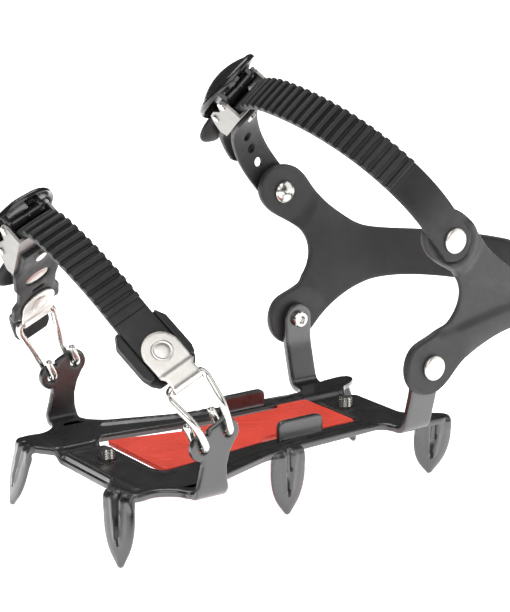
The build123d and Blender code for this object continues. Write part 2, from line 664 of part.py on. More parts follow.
# ---- ratchet buckles ----
def buckle(prefix, base, seat, toward):
    """Channel, pins, rivets, lever, pawl, spring, pull cord and tab of one ratchet buckle."""
    # local x runs from the strap entry toward the free tail, local y away from the boot
    pl = sub_plane(base, seat[0], seat[1], -toward[0], -toward[1])
    flat = Plane(origin=pl.origin, x_dir=pl.x_dir, z_dir=pl.y_dir)
    with BuildPart() as channel:
        with BuildSketch(flat):
            with Locations((-14.5, 0)):
                Rectangle(29, 21.6)
            with Locations((3, 0)):
                RectangleRounded(18, 11, 5)
        extrude(amount=1.2)
        for w in (-10.8, 9.6):
            with BuildSketch(pl.offset(w)):
                with BuildLine():
                    Polyline(
                        (-29, 0), (-0.5, 0), (1.5, 3.5), (-2.5, 8.5), (-6, 11), (-12, 11), (-18, 8.5),
                        (-22, 11.4), (-26.8, 11.4), (-28.6, 8),
                        close=True,
                    )
                make_face()
                fillet(vertices(), radius=0.8)
                with Locations(lever_pin):
                    Circle(1.25, mode=Mode.SUBTRACT)
                with Locations(pawl_pin):
                    Circle(1.0, mode=Mode.SUBTRACT)
            extrude(amount=1.2)
        with BuildSketch(flat):
            with Locations((7.5, 0), (base_rivet_x, 0)):
                Circle(1.3)
        extrude(amount=3, mode=Mode.SUBTRACT)
    save(channel, f"{prefix}_buckle_base", steel)

    with BuildPart() as pins:
        for (cx, cy), r, head in ((lever_pin, 1.25, 1.9), (pawl_pin, 1.0, 1.6)):
            with BuildSketch(pl.offset(-10.8)):
                with Locations((cx, cy)):
                    Circle(r)
            extrude(amount=21.6)
            for w0 in (-11.5, 10.8):
                with BuildSketch(pl.offset(w0)):
                    with Locations((cx, cy)):
                        Circle(head)
                extrude(amount=0.7)
    save(pins, f"{prefix}_buckle_pins", steel)

    with BuildPart() as screws:
        with BuildSketch(flat.offset(-2.45)):
            with Locations((base_rivet_x, 0)):
                Circle(1.3)
        extrude(amount=3.65)
        with BuildSketch(flat.offset(-3.4)):
            with Locations((base_rivet_x, 0)):
                Circle(2.6)
        extrude(amount=0.95)
        with BuildSketch(flat):
            with Locations((7.5, 0)):
                Circle(1.3)
        extrude(amount=1.35)
    save(screws, f"{prefix}_buckle_rivets", steel)

    # lever: hollow dome over a hub on the pivot pin
    with BuildPart() as lever:
        with BuildSketch(pl):
            with BuildLine():
                ThreePointArc((6.8, 10.6), (-12.5, 18.4), (-32.0, 12.2))
                Polyline((-32.0, 12.2), (-30.6, 10.8), (-27.6, 12.9))
                ThreePointArc((-27.6, 12.9), (-12.5, 16.2), (5.6, 9.2))
                Line((5.6, 9.2), (6.8, 10.6))
            make_face()
        extrude(amount=13.5, both=True)
        with BuildSketch(flat.offset(-2)):
            Rectangle(160, 80)
            with Locations((-12.8, 0)):
                Ellipse(18.8, 13.4, mode=Mode.SUBTRACT)
        extrude(amount=24, mode=Mode.SUBTRACT)
        for w in (-9.2, 6.7):
            with BuildSketch(pl.offset(w)):
                with Locations(lever_pin):
                    Circle(2.6)
                with BuildLine():
                    Polyline((-27.4, 9.4), (-27.4, 15), (-17, 16.8), (-17, 13.5), (-22.6, 9.4), close=True)
                make_face()
            extrude(amount=2.5)
        with BuildSketch(pl):
            with Locations(lever_pin):
                Circle(2.6)
        extrude(amount=7.5, both=True)
        with BuildSketch(pl):
            with Locations(lever_pin):
                Circle(1.3)
        extrude(amount=12, both=True, mode=Mode.SUBTRACT)
        # eyelet for the pull cord at the free end
        with BuildSketch(flat.offset(8)):
            with Locations((2.6, 0)):
                Circle(1.5)
        extrude(amount=8, mode=Mode.SUBTRACT)
    save(lever, f"{prefix}_buckle_lever", gloss_black)

    # spring-loaded pawl that holds the ladder strap
    with BuildPart() as pawl:
        with BuildSketch(pl):
            with Locations(pawl_pin):
                Circle(2.3)
            with BuildLine():
                Polyline((-10.5, 7.2), (-15.4, 5.4), (-16.2, 6.4), (-9.5, 10.4), close=True)
            make_face()
            with Locations(pawl_pin):
                Circle(1.08, mode=Mode.SUBTRACT)
        extrude(amount=6.2, both=True)
    save(pawl, f"{prefix}_holding_pawl", matte_black)

    # torsion spring coils beside the pawl
    with BuildPart() as spring:
        for k in range(3):
            with BuildSketch(pl.offset(6.7 + 0.8 * k)):
                with Locations(pawl_pin):
                    Circle(2.0)
                    Circle(1.3, mode=Mode.SUBTRACT)
            extrude(amount=0.6)
    save(spring, f"{prefix}_pawl_spring", steel)

    # closed cord ring through the lever's eyelet, and the rubber tab that hangs from it
    with BuildPart() as cord:
        with Locations(Location(Plane(origin=pl.from_local_coords(Vector(*cord_ring, 0)), z_dir=pl.z_dir))):
            Torus(cord_ring_r, cord_r)
    save(cord, f"{prefix}_pull_cord", cord_red)
    top = pl.from_local_coords(Vector(cord_ring[0] + 0.8 * cord_ring_r, cord_ring[1], 0))
    hang = Plane(origin=top, x_dir=(1, 0, 0), z_dir=(0, 0.5, -0.866))
    with BuildPart() as tab:
        with BuildSketch(hang):
            RectangleRounded(5.0, 3.6, 1.4)
        with BuildSketch(hang.offset(8)):
            RectangleRounded(8.4, 4.4, 1.8)
        with BuildSketch(hang.offset(15)):
            RectangleRounded(10.4, 4.4, 1.8)
        with BuildSketch(hang.offset(18)):
            RectangleRounded(7.6, 3.0, 1.2)
        loft()
    save(tab, f"{prefix}_pull_tab", rubber)


buckle("front", front_plane, front_seat, front_toward)
buckle("ankle", ankle_plane, ankle_seat, ankle_toward)
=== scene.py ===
import math

import bpy
import bmesh
import numpy as np
from mathutils import Matrix, Vector
from mathutils.geometry import delaunay_2d_cdt
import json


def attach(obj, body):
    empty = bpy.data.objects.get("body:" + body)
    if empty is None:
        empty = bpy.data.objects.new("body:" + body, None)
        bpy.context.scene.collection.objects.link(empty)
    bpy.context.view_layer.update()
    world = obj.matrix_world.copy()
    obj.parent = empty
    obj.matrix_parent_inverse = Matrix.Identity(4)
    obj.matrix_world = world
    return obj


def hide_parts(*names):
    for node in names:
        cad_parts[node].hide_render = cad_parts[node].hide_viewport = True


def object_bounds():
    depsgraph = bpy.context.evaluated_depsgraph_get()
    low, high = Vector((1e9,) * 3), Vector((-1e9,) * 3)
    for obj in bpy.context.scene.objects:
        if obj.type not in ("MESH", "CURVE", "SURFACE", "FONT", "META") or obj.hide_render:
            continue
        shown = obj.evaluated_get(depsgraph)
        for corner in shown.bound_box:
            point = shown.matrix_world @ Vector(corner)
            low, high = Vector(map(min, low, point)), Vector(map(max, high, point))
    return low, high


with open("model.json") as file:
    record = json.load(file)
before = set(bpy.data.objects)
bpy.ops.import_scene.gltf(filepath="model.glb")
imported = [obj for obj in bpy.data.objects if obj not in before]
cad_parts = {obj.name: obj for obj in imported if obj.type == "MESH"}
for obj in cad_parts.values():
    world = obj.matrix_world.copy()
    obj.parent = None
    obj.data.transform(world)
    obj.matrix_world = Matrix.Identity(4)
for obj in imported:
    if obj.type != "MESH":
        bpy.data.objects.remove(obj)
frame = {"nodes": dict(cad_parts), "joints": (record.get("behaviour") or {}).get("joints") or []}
cad_box = [list(corner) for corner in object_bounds()]

MM = 0.001
MICRON = 0.000001

# the looks, named like the record's slots
PAINT = "frame_black"
STEEL_POLISHED = "steel_polished"
STEEL_SATIN = "steel_satin"
DULL_STEEL = "steel_dull"
BLACK_RUBBER = "rubber_black"
GREY_RUBBER = "rubber_grey"
GLOSS = "plastic_gloss"
MATTE = "plastic_matte"
RED_PLASTIC = "plate_red"
RED_CORD = "cord_red"


# ---- local frames: millimetres in, metres of the row frame out ----
JOINTS = {j["name"]: j for j in frame["joints"]}


def joint_at(name):
    return Vector(JOINTS[name]["pos_m"])


def local(origin, x, z):
    """Matrix of a frame at origin, with its x and z axes, that takes millimetres."""
    ax = Vector(x).normalized()
    az = Vector(z).normalized()
    rows = Matrix((ax, az.cross(ax), az)).transposed() * MM
    m = rows.to_4x4()
    m.translation = origin
    return m


def turned(base, a, b, da, db):
    """A frame inside base at (a, b), with its x axis along (da, db)."""
    n = math.hypot(da, db)
    c, s = da / n, db / n
    return base @ Matrix(((c, -s, 0, a), (s, c, 0, b), (0, 0, 1, 0), (0, 0, 0, 1)))


def loop_frame(joint, hinge):
    """A strap loop's frame: x is across the boot, y climbs the loop, z is hinge's axis."""
    centre = joint_at(joint)
    centre.y = 0
    return local(centre, (0, 1, 0), JOINTS[hinge]["axis"])


FRONT = loop_frame("inner_bail_sway", "front_lever_lift")
ANKLE = loop_frame("ankle_loop_swing", "ankle_lever_lift")
REAR_PIVOT = (122.0, 58.0)
ANKLE_PIVOT = (122.5, 115.0)
# the whole object's frame: x toward the heel, y outward, z up from the ground, in millimetres
DRAWN = local(joint_at("harness_fold") - Vector((REAR_PIVOT[0], 0, REAR_PIVOT[1])) * MM, (1, 0, 0), (0, 0, 1))


# ---- materials ----
class Look:
    """A procedural material being built: each method adds nodes and returns a socket."""

    def __init__(self, name, constants):
        self.material = bpy.data.materials.new("look_" + name)
        self.material.use_nodes = True
        self.nodes = self.material.node_tree.nodes
        self.link = self.material.node_tree.links.new
        self.shader = self.nodes["Principled BSDF"].inputs
        for socket, value in constants.items():
            self.shader[socket].default_value = value

    def node(self, kind, **constants):
        """A new shader node; the constants go to the inputs of those names, with _ for a space."""
        node = self.nodes.new("ShaderNode" + kind)
        for socket, value in constants.items():
            node.inputs[socket.replace("_", " ")].default_value = value
        return node

    def noise(self, scale, detail=4.0, stretch=(1, 1, 1)):
        """Noise in object coordinates; scale is in 1/m, stretch squeezes it along an axis."""
        where = self.node("TexCoord")
        mapping = self.node("Mapping", Scale=stretch)
        texture = self.node("TexNoise", Scale=scale, Detail=detail)
        self.link(where.outputs["Object"], mapping.inputs["Vector"])
        self.link(mapping.outputs["Vector"], texture.inputs["Vector"])
        return texture.outputs["Fac"]

    def ramp(self, source, dark, light, top=0.7):
        """Colour ramp over source, from dark at 0.3 to light at top."""
        node = self.node("ValToRGB")
        first, last = node.color_ramp.elements
        first.position, first.color = 0.3, (*dark, 1)
        last.position, last.color = top, (*light, 1)
        self.link(source, node.inputs["Fac"])
        return node.outputs["Color"]

    def spread(self, source, low, high):
        """Maps the middle of a noise, 0.3 to 0.7, to low..high."""
        node = self.node("MapRange", From_Min=0.3, From_Max=0.7, To_Min=low, To_Max=high)
        self.link(source, node.inputs["Value"])
        return node.outputs["Result"]

    def bumps(self, layers):
        """Chain of bump nodes; layers are (height source, depth in metres)."""
        normal = None
        for source, depth in layers:
            node = self.node("Bump", Strength=1.0, Distance=depth)
            self.link(source, node.inputs["Height"])
            if normal is not None:
                self.link(normal, node.inputs["Normal"])
            normal = node.outputs["Normal"]
        return normal

    def edge_wear_and_highlight(self, colour, edge_colour, amount):
        """Lightens sharp outer edges, broken up by noise: rubbed wear, and on the black paint also a painted
        edge highlight.
        """
        geometry = self.node("NewGeometry")
        edge = self.node("MapRange", From_Min=0.53, From_Max=0.60, To_Max=amount)
        self.link(geometry.outputs["Pointiness"], edge.inputs["Value"])
        broken = self.node("Math")
        broken.operation = "MULTIPLY"
        self.link(edge.outputs["Result"], broken.inputs[0])
        self.link(self.spread(self.noise(700), 0.1, 1.0), broken.inputs[1])
        mix = self.node("Mix")
        mix.data_type = "RGBA"
        mix.inputs["B"].default_value = (*edge_colour, 1)
        self.link(broken.outputs["Value"], mix.inputs["Factor"])
        self.link(colour, mix.inputs["A"])
        return mix.outputs["Result"]

    def done(self, colour, roughness, layers=()):
        """The material, with its colour, roughness and bump layers wired in."""
        self.link(colour, self.shader["Base Color"])
        self.link(roughness, self.shader["Roughness"])
        if layers:
            self.link(self.bumps(layers), self.shader["Normal"])
        return self.material


def painted_steel(name):
    """Gloss black paint over pressed sheet, with faint orange peel, and lighter rubbed edges that also serve as
    painted edge highlights.
    """
    look = Look(name, {"Specular IOR Level": 1.0, "Coat Weight": 0.5, "Coat Roughness": 0.2})
    colour = look.ramp(look.noise(60), (0.0045, 0.0043, 0.0045), (0.008, 0.0077, 0.008))
    # lighter grey at sharp edges: partly rubbed wear, partly painted thin highlights along the sheet's edges
    colour = look.edge_wear_and_highlight(colour, (0.15, 0.15, 0.155), 0.6)
    roughness = look.spread(look.noise(120), 0.25, 0.37)
    return look.done(colour, roughness, ((look.noise(900, 2), 12 * MICRON), (look.noise(5000, 3), 3 * MICRON)))


def steel(name, base, rough_low, rough_high, stretch, depth):
    """Bare steel with drawn lines along one axis, light stains and small dents."""
    look = Look(name, {"Metallic": 1.0})
    colour = look.ramp(look.noise(160, 6), [c * 0.9 for c in base], base, 0.65)
    drawn = look.noise(2200, 5, stretch)
    roughness = look.spread(drawn, rough_low, rough_high)
    return look.done(colour, roughness, ((drawn, depth), (look.noise(120, 2), depth * 4)))


def rubber(name, dark, light, rough_low, rough_high):
    """Moulded elastomer: fine grain, dusty patches and a soft sheen."""
    look = Look(name, {"Specular IOR Level": 0.45, "Sheen Weight": 0.05, "Sheen Roughness": 0.5})
    colour = look.ramp(look.noise(70, 5), dark, light)
    colour = look.edge_wear_and_highlight(colour, [c * 2.2 for c in light], 0.5)
    roughness = look.spread(look.noise(260), rough_low, rough_high)
    return look.done(colour, roughness, ((look.noise(350, 3), 20 * MICRON), (look.noise(3500, 3), 18 * MICRON)))


def hard_plastic(name, dark, light, rough_low, rough_high, coat):
    """Injection-moulded plastic with a polished skin and fine scratches."""
    look = Look(name, {"Coat Weight": coat, "Coat Roughness": 0.12})
    scratches = look.noise(1200, 5, (0.12, 1, 1))
    colour = look.ramp(look.noise(90, 4), dark, light)
    roughness = look.spread(scratches, rough_low, rough_high)
    return look.done(colour, roughness, ((look.noise(500, 2), 20 * MICRON), (scratches, 4 * MICRON)))


def red_plate(name):
    """Satin red plastic with a faint uneven moulded skin."""
    look = Look(name, {"Subsurface Weight": 0.08, "Subsurface Radius": (0.004, 0.001, 0.0006)})
    colour = look.ramp(look.noise(55, 5), (0.54, 0.036, 0.018), (0.65, 0.052, 0.026))
    roughness = look.spread(look.noise(300), 0.34, 0.48)
    return look.done(colour, roughness, ((look.noise(240, 3), 80 * MICRON), (look.noise(4200, 3), 10 * MICRON)))


def woven_cord(name):
    """Red braided cord: fine fibres, with painted shade in the gaps between them."""
    look = Look(name, {"Sheen Weight": 0.3})
    fibre = look.noise(2600, 4, (1, 3, 1))
    # the fibre noise that raises the bump also darkens the colour in the low gaps: painted shade
    colour = look.ramp(fibre, (0.28, 0.006, 0.01), (0.62, 0.02, 0.03), 0.65)
    return look.done(colour, look.spread(fibre, 0.6, 0.8), ((fibre, 60 * MICRON),))


def floor_paper(name):
    """Seamless white studio paper that glows a little, so that no shadow turns grey."""
    look = Look(name, {"Specular IOR Level": 0.0, "Emission Color": (1, 1, 1, 1), "Emission Strength": 0.7})
    colour = look.ramp(look.noise(8, 3), (0.90, 0.90, 0.90), (0.93, 0.93, 0.93))
    return look.done(colour, look.spread(look.noise(500), 0.75, 0.9))


LINES_ALONG_X = (0.15, 1, 1)
LINES_ALONG_Z = (1, 1, 0.2)
LOOKS = {slot: make(slot, *values) for slot, make, *values in (
    (PAINT, painted_steel),
    (STEEL_POLISHED, steel, (0.70, 0.685, 0.65), 0.16, 0.28, LINES_ALONG_Z, 0.6 * MICRON),
    (STEEL_SATIN, steel, (0.76, 0.73, 0.69), 0.3, 0.42, LINES_ALONG_X, MICRON),
    (DULL_STEEL, steel, (0.33, 0.32, 0.305), 0.36, 0.5, LINES_ALONG_X, MICRON),
    (BLACK_RUBBER, rubber, (0.0055, 0.0052, 0.0055), (0.0095, 0.0092, 0.0096), 0.44, 0.58),
    (GREY_RUBBER, rubber, (0.016, 0.0153, 0.0158), (0.023, 0.0222, 0.0228), 0.45, 0.58),
    (GLOSS, hard_plastic, (0.005, 0.005, 0.005), (0.009, 0.009, 0.0095), 0.16, 0.3, 0.5),
    (MATTE, hard_plastic, (0.008, 0.008, 0.008), (0.015, 0.015, 0.015), 0.4, 0.55, 0.05),
    (RED_PLASTIC, red_plate),
    (RED_CORD, woven_cord),
)}


# ---- making pieces ----
def piece(name, verts, faces, look, body, nodes=()):
    """A mesh piece that rides on body, wears look and stands for the CAD nodes."""
    mesh = bpy.data.meshes.new(name)
    mesh.from_pydata([tuple(v) for v in verts], [], faces)
    bm = bmesh.new()
    bm.from_mesh(mesh)
    bmesh.ops.recalc_face_normals(bm, faces=bm.faces)
    bm.to_mesh(mesh)
    bm.free()
    for polygon in mesh.polygons:
        polygon.use_smooth = True
    obj = bpy.data.objects.new(name, mesh)
    bpy.context.scene.collection.objects.link(obj)
    mesh.materials.append(LOOKS[look])
    mesh.set_sharp_from_angle(angle=math.radians(38))
    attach(obj, body)
    if nodes:
        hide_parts(*nodes)
    return obj


def smooth_path(points, step):
    """Natural cubic spline through points; returns (arc lengths, places, directions)."""
    p = np.array(points, float)
    n = len(p)
    t = np.concatenate(([0], np.cumsum(np.linalg.norm(np.diff(p, axis=0), axis=1))))
    h = np.diff(t)
    system = np.eye(n)
    right = np.zeros_like(p)
    for i in range(1, n - 1):
        system[i, i - 1:i + 2] = h[i - 1], 2 * (h[i - 1] + h[i]), h[i]
        right[i] = 6 * ((p[i + 1] - p[i]) / h[i] - (p[i] - p[i - 1]) / h[i - 1])
    bend = np.linalg.solve(system, right)
    at = np.linspace(0, t[-1], max(8, int(t[-1] / step)))
    k = np.clip(np.searchsorted(t, at, side="right") - 1, 0, n - 2)
    a = ((t[k + 1] - at) / h[k])[:, None]
    b = 1 - a
    hh = (h[k] ** 2 / 6)[:, None]
    places = a * p[k] + b * p[k + 1] + ((a ** 3 - a) * bend[k] + (b ** 3 - b) * bend[k + 1]) * hh
    lengths = np.concatenate(([0], np.cumsum(np.linalg.norm(np.diff(places, axis=0), axis=1))))
    directions = np.gradient(places, lengths, axis=0)
    directions /= np.linalg.norm(directions, axis=1)[:, None]
    return lengths, places, directions


class Track:
    """A line in a loop's plane that a strap follows."""

    def __init__(self, base, points):
        self.base = base
        self.s, self.p, self.d = smooth_path(points, 0.4)
        self.length = self.s[-1]

    def place(self, s, w, h):
        """Point s along the line, w across the strap, h off the line on its left."""
        inside = min(max(s, 0), self.length)
        x, y = (np.interp(inside, self.s, self.p[:, i]) for i in (0, 1))
        dx, dy = (np.interp(inside, self.s, self.d[:, i]) for i in (0, 1))
        over = s - inside
        return self.base @ Vector((x + dx * over - dy * h, y + dy * over + dx * h, w))


def tube_of_rings(rings, endless=False):
    """Vertices and faces of a closed skin over rings with the same number of points."""
    count = len(rings[0])
    verts = [v for ring in rings for v in ring]
    faces = []
    for r in range(len(rings) - (0 if endless else 1)):
        n = (r + 1) % len(rings)
        for i in range(count):
            j = (i + 1) % count
            faces.append((r * count + i, r * count + j, n * count + j, n * count + i))
    if endless:
        return verts, faces
    for r, turn in ((0, -1), (len(rings) - 1, 1)):
        verts.append(sum((Vector(v) for v in rings[r]), Vector()) / count)
        hub = len(verts) - 1
        for i in range(count):
            j = (i + 1) % count
            faces.append((hub, r * count + i, r * count + j)[::turn])
    return verts, faces


def strap_section(half, low, high, corner, crown):
    """Outline across a strap: (w, h) points, rounded at its four edges and slightly crowned."""
    ring = []
    arcs = ((half, low, -90), (half, high, 0), (-half, high, 90), (-half, low, 180))
    for w, h, start in arcs:
        cw = w - math.copysign(corner, w)
        ch = h + corner if h == low else h - corner
        for k in range(4):
            a = math.radians(start + 30 * k)
            ring.append((cw + corner * math.cos(a), ch + corner * math.sin(a)))
        if h == high and w > 0:
            for k in range(1, 6):
                f = 1 - k / 3
                ring.append((f * (half - corner), high + crown * (1 - f * f)))
    return ring


STRAP_HALF = 8.2
STRAP_T = 2.4
TOOTH_PITCH = 4.2
CREASE_DEPTH = 0.45
TOOTH = ((0.0, -0.3), (0.25, 0.7), (0.6, 0.97), (1.3, 1.0), (2.0, 0.97), (2.4, 0.7), (2.75, -0.1), (3.0, -0.3))


def tooth_rows(start, count):
    """(distance, height) rows of the ladder's transverse ribs and the grooves between them."""
    return [(start + k * TOOTH_PITCH + along, height) for k in range(count) for along, height in TOOTH]


def ladder_strap(name, track, first_tooth, teeth, root_r, body, crease=None):
    """Ladder strap: a rounded root, a plain part, the ribs and a rounded free end."""
    rows = tooth_rows(first_tooth, teeth)
    last = rows[-1][0]
    rows += [(s, 0.0) for s in np.arange(root_r + 1, first_tooth - 0.5, 1.2)]
    rows += [(s, 0.0) for s in np.arange(last + 1, track.length - STRAP_HALF, 1.2)]
    rows += [(root_r * (1 - math.cos(a)), 0.0) for a in np.linspace(0.12, math.pi / 2, 12)]
    tip = STRAP_HALF * 0.6
    rows += [(track.length - tip * (1 - math.cos(a)), 0.0) for a in np.linspace(0.12, math.pi / 2, 9)]
    if crease:
        rows += [(crease - 0.5, 0.0), (crease, -CREASE_DEPTH), (crease + 0.5, 0.0)]
    rings = []
    for s, rise in sorted(rows):
        half = STRAP_HALF
        if s < root_r:
            half = min(half, math.sqrt(root_r ** 2 - (root_r - s) ** 2))
        from_tip = track.length - s
        if from_tip < tip:
            half *= 0.35 + 0.65 * math.sqrt(1 - (1 - from_tip / tip) ** 2)
        corner = min(0.55, half * 0.45)
        section = strap_section(half, -STRAP_T / 2, STRAP_T / 2 + rise, corner, 0.12)
        rings.append([track.place(s, w, h) for w, h in section])
    verts, faces = tube_of_rings(rings)
    return piece(name, verts, faces, BLACK_RUBBER, body, (name,))


def odd_inside(points, loops):
    """True for each point that an odd number of loop crossings says is inside."""
    inside = np.zeros(len(points), bool)
    for loop in loops:
        a = np.array(loop)
        b = np.roll(a, -1, axis=0)
        for (ax, ay), (bx, by) in zip(a, b):
            if ay == by:
                continue
            crosses = (points[:, 1] > min(ay, by)) & (points[:, 1] <= max(ay, by))
            inside ^= crosses & (points[:, 0] < ax + (points[:, 1] - ay) * (bx - ax) / (by - ay))
    return inside


def edge_distance(points, loops):
    """Distance of each point to the nearest edge of any loop."""
    best = np.full(len(points), 1e9)
    for loop in loops:
        a = np.array(loop)
        for p, q in zip(a, np.roll(a, -1, axis=0)):
            d = q - p
            t = np.clip(((points - p) @ d) / max(d @ d, 1e-12), 0, 1)
            best = np.minimum(best, np.linalg.norm(points - (p + t[:, None] * d), axis=1))
    return best


def resampled(loop, step):
    """The loop with points added so that none of its edges is longer than step."""
    out = []
    for p, q in zip(loop, list(loop[1:]) + [loop[0]]):
        parts = max(1, math.ceil(math.dist(p, q) / step))
        out += [(p[0] + (q[0] - p[0]) * i / parts, p[1] + (q[1] - p[1]) * i / parts) for i in range(parts)]
    return out


def rounded_line(points, radius, steps=5, endless=False):
    """The line, or closed outline, with each corner turned into an arc that starts radius from it."""
    out = []
    count = len(points)
    for i, corner in enumerate(points):
        c = Vector(corner)
        if not endless and i in (0, count - 1):
            out.append(tuple(c))
            continue
        before = Vector(points[i - 1]) - c
        after = Vector(points[(i + 1) % count]) - c
        cut = min(radius, before.length * 0.48, after.length * 0.48)
        p, q = c + before.normalized() * cut, c + after.normalized() * cut
        for k in range(steps + 1):
            t = k / steps
            out.append(tuple(p * (1 - t) ** 2 + c * 2 * t * (1 - t) + q * t * t))
    return out


def rounded(polygon, radius, steps=5):
    return rounded_line(polygon, radius, steps, endless=True)


def mirrored(points, side):
    return [(x, side * y) for x, y in points]


def full_turn(count):
    return [2 * math.pi * i / count for i in range(count)]


def ellipse(cx, cy, rx, ry, count=28):
    return [(cx + rx * math.cos(a), cy + ry * math.sin(a)) for a in full_turn(count)]


def slab_mesh(outline, holes, place, half, corner, cell, top=None, under=None):
    """Sheet with rounded edges: outline and holes are loops of (u, v) in millimetres."""
    loops = [resampled(outline, cell)] + [resampled(h, cell) for h in holes]
    points = []
    edges = []
    for loop in loops:
        first = len(points)
        points += loop
        edges += [(first + i, first + (i + 1) % len(loop)) for i in range(len(loop))]
    extra = []
    for loop in loops:
        a = np.array(loop)
        along = np.roll(a, -1, axis=0) - np.roll(a, 1, axis=0)
        normal = np.stack((-along[:, 1], along[:, 0]), axis=1)
        normal /= np.maximum(np.linalg.norm(normal, axis=1), 1e-9)[:, None]
        for depth in (0.12, 0.45, 1.0):
            for side in (-1, 1):
                ring = a + normal * side * depth * corner
                good = edge_distance(ring, loops) > depth * corner * 0.93
                extra.append(ring[good])
    low, high = np.min(loops[0], axis=0), np.max(loops[0], axis=0)
    us, vs = np.meshgrid(np.arange(low[0], high[0], cell), np.arange(low[1], high[1], cell * 0.87))
    us[::2] += cell / 2
    grid = np.stack((us.ravel(), vs.ravel()), axis=1)
    grid = grid[odd_inside(grid, loops)]
    extra.append(grid[edge_distance(grid, loops) > corner + cell * 0.4])
    extra = np.concatenate(extra)
    extra = extra[odd_inside(extra, loops)]
    points += [tuple(p) for p in extra]
    flat_verts, _, tris, *_ = delaunay_2d_cdt([Vector(p) for p in points], edges, [], 0, 1e-5)
    uv = np.array([tuple(v) for v in flat_verts])
    tris = np.array([list(t) for t in tris])
    tris = tris[odd_inside(uv[tris].mean(axis=1), loops)]
    used = np.unique(tris)
    renumber = np.full(len(uv), -1)
    renumber[used] = np.arange(len(used))
    uv, tris = uv[used], renumber[tris]
    away = edge_distance(uv, loops)
    inset = corner - np.minimum(away, corner)
    rim = half - corner + np.sqrt(np.maximum(corner ** 2 - inset ** 2, 0))
    count = len(uv)
    lift = top(uv, away) if top else np.zeros(count)
    drop = under(uv, away) if under else np.zeros(count)
    above = [place(u, v, h) for (u, v), h in zip(uv, rim + lift)]
    below = [place(u, v, h) for (u, v), h in zip(uv, drop - rim)]
    faces = [tuple(t) for t in tris.tolist()] + [tuple(i + count for i in t[::-1]) for t in tris.tolist()]
    seen = set((t[i], t[(i + 1) % 3]) for t in tris.tolist() for i in range(3))
    faces += [(b, a, a + count, b + count) for a, b in seen if (b, a) not in seen]
    return above + below, faces


def slab(name, outline, place, half, look, body, nodes=(), holes=(), corner=0.5, cell=1.5, top=None,
         under=None):
    """A sheet piece: it reaches half to each side of the surface that place describes."""
    verts, faces = slab_mesh(outline, holes, place, half, corner, cell, top, under)
    return piece(name, verts, faces, look, body, nodes)


def lathe(name, base, profile, look, body, nodes=(), segments=40):
    """Turned piece about base's z axis; profile is (radius, height) from one pole to the other."""
    rings = []
    for radius, height, *hexagonal in profile:
        ring = []
        for a in full_turn(segments):
            r = radius * (math.cos(math.pi / 6) / math.cos(a % (math.pi / 3) - math.pi / 6) if hexagonal else 1)
            ring.append(base @ Vector((r * math.cos(a), r * math.sin(a), height)))
        rings.append(ring)
    verts, faces = tube_of_rings(rings)
    return piece(name, verts, faces, look, body, nodes)


def wire(points, radius, segments=14):
    """Rings of a round wire along points (row frame, metres), with rounded ends."""
    p = [Vector(q) for q in points]
    directions = [(p[min(i + 1, len(p) - 1)] - p[max(i - 1, 0)]).normalized() for i in range(len(p))]
    side = directions[0].orthogonal().normalized()
    rings = []

    def ring(centre, direction, r):
        across = direction.cross(side)
        return [centre + (side * math.cos(a) + across * math.sin(a)) * r for a in full_turn(segments)]

    def cap(end, angles):
        for t in (math.radians(a) for a in angles):
            out = directions[end] * radius * math.sin(t)
            rings.append(ring(p[end] + out, directions[end], radius * math.cos(t)))

    cap(0, (-75, -50, -25))
    for centre, direction in zip(p, directions):
        side = (side - direction * side.dot(direction)).normalized()
        rings.append(ring(centre, direction, radius))
    cap(-1, (25, 50, 75))
    return rings


# ---- straps ----
def beside(origin, d, places):
    """Points near a line from origin along d: places are (along it, off to its right)."""
    return [(origin[0] + d[0] * a + d[1] * b, origin[1] + d[1] * a - d[0] * b) for a, b in places]


# each buckle's seat: its place in the loop's frame and the way to the ladder strap
FRONT_SEAT = ((36.0, 61.0), (-0.722, 0.692))
ANKLE_SEAT = ((45.0, 49.0), (-0.842, 0.539))
UNDER_PAWL = ((29, 2.8), (15, 2.8), (0, 2.8), (-7, 2.9), (-13, 2.6))
NEAR_ROLL_AT = (-55.1, 27.5)
NEAR_ROLL_WAY = (0.72, 0.69)
FAR_ROLL_AT = (61.9, 27.5)
near_roll = turned(FRONT, *NEAR_ROLL_AT, *NEAR_ROLL_WAY)
far_roll = turned(FRONT, *FAR_ROLL_AT, -0.65, 0.76)

front_track = Track(FRONT, beside(
    NEAR_ROLL_AT, NEAR_ROLL_WAY, ((3.4, -0.35), (14, -0.35), (27, -0.35))
) + [(-23.5, 60.5), (-11, 72), (1, 80.5), (10, 84.2)] + beside(*FRONT_SEAT, UNDER_PAWL))
ankle_track = Track(ANKLE, [
    (-61.6, -9), (-61.6, -3), (-61.6, 3), (-61.7, 10), (-61.5, 17), (-57.2, 32.5), (-45, 49.5),
    (-27, 62), (-7, 69), (8, 70.8),
] + beside(*ANKLE_SEAT, UNDER_PAWL) + [(61.6, 37.5), (64.0, 30.5), (64.9, 23.5)])
ladder_strap("front_ladder_strap", front_track, first_tooth=34.0, teeth=22, root_r=5.0, body="front_loop",
             crease=30.0)
ladder_strap("ankle_ladder_strap", ankle_track, first_tooth=46.0, teeth=28, root_r=9.0, body="ankle_loop")

holed_track = Track(ANKLE, [
    (61.3, -9), (61.3, -3), (61.3, 3), (61.4, 10), (61.3, 16.5), (59.4, 25.5), (54.6, 35.5),
] + beside(*ANKLE_SEAT, ((0, -1.3), (8, -1.05), (16, -1.05))))


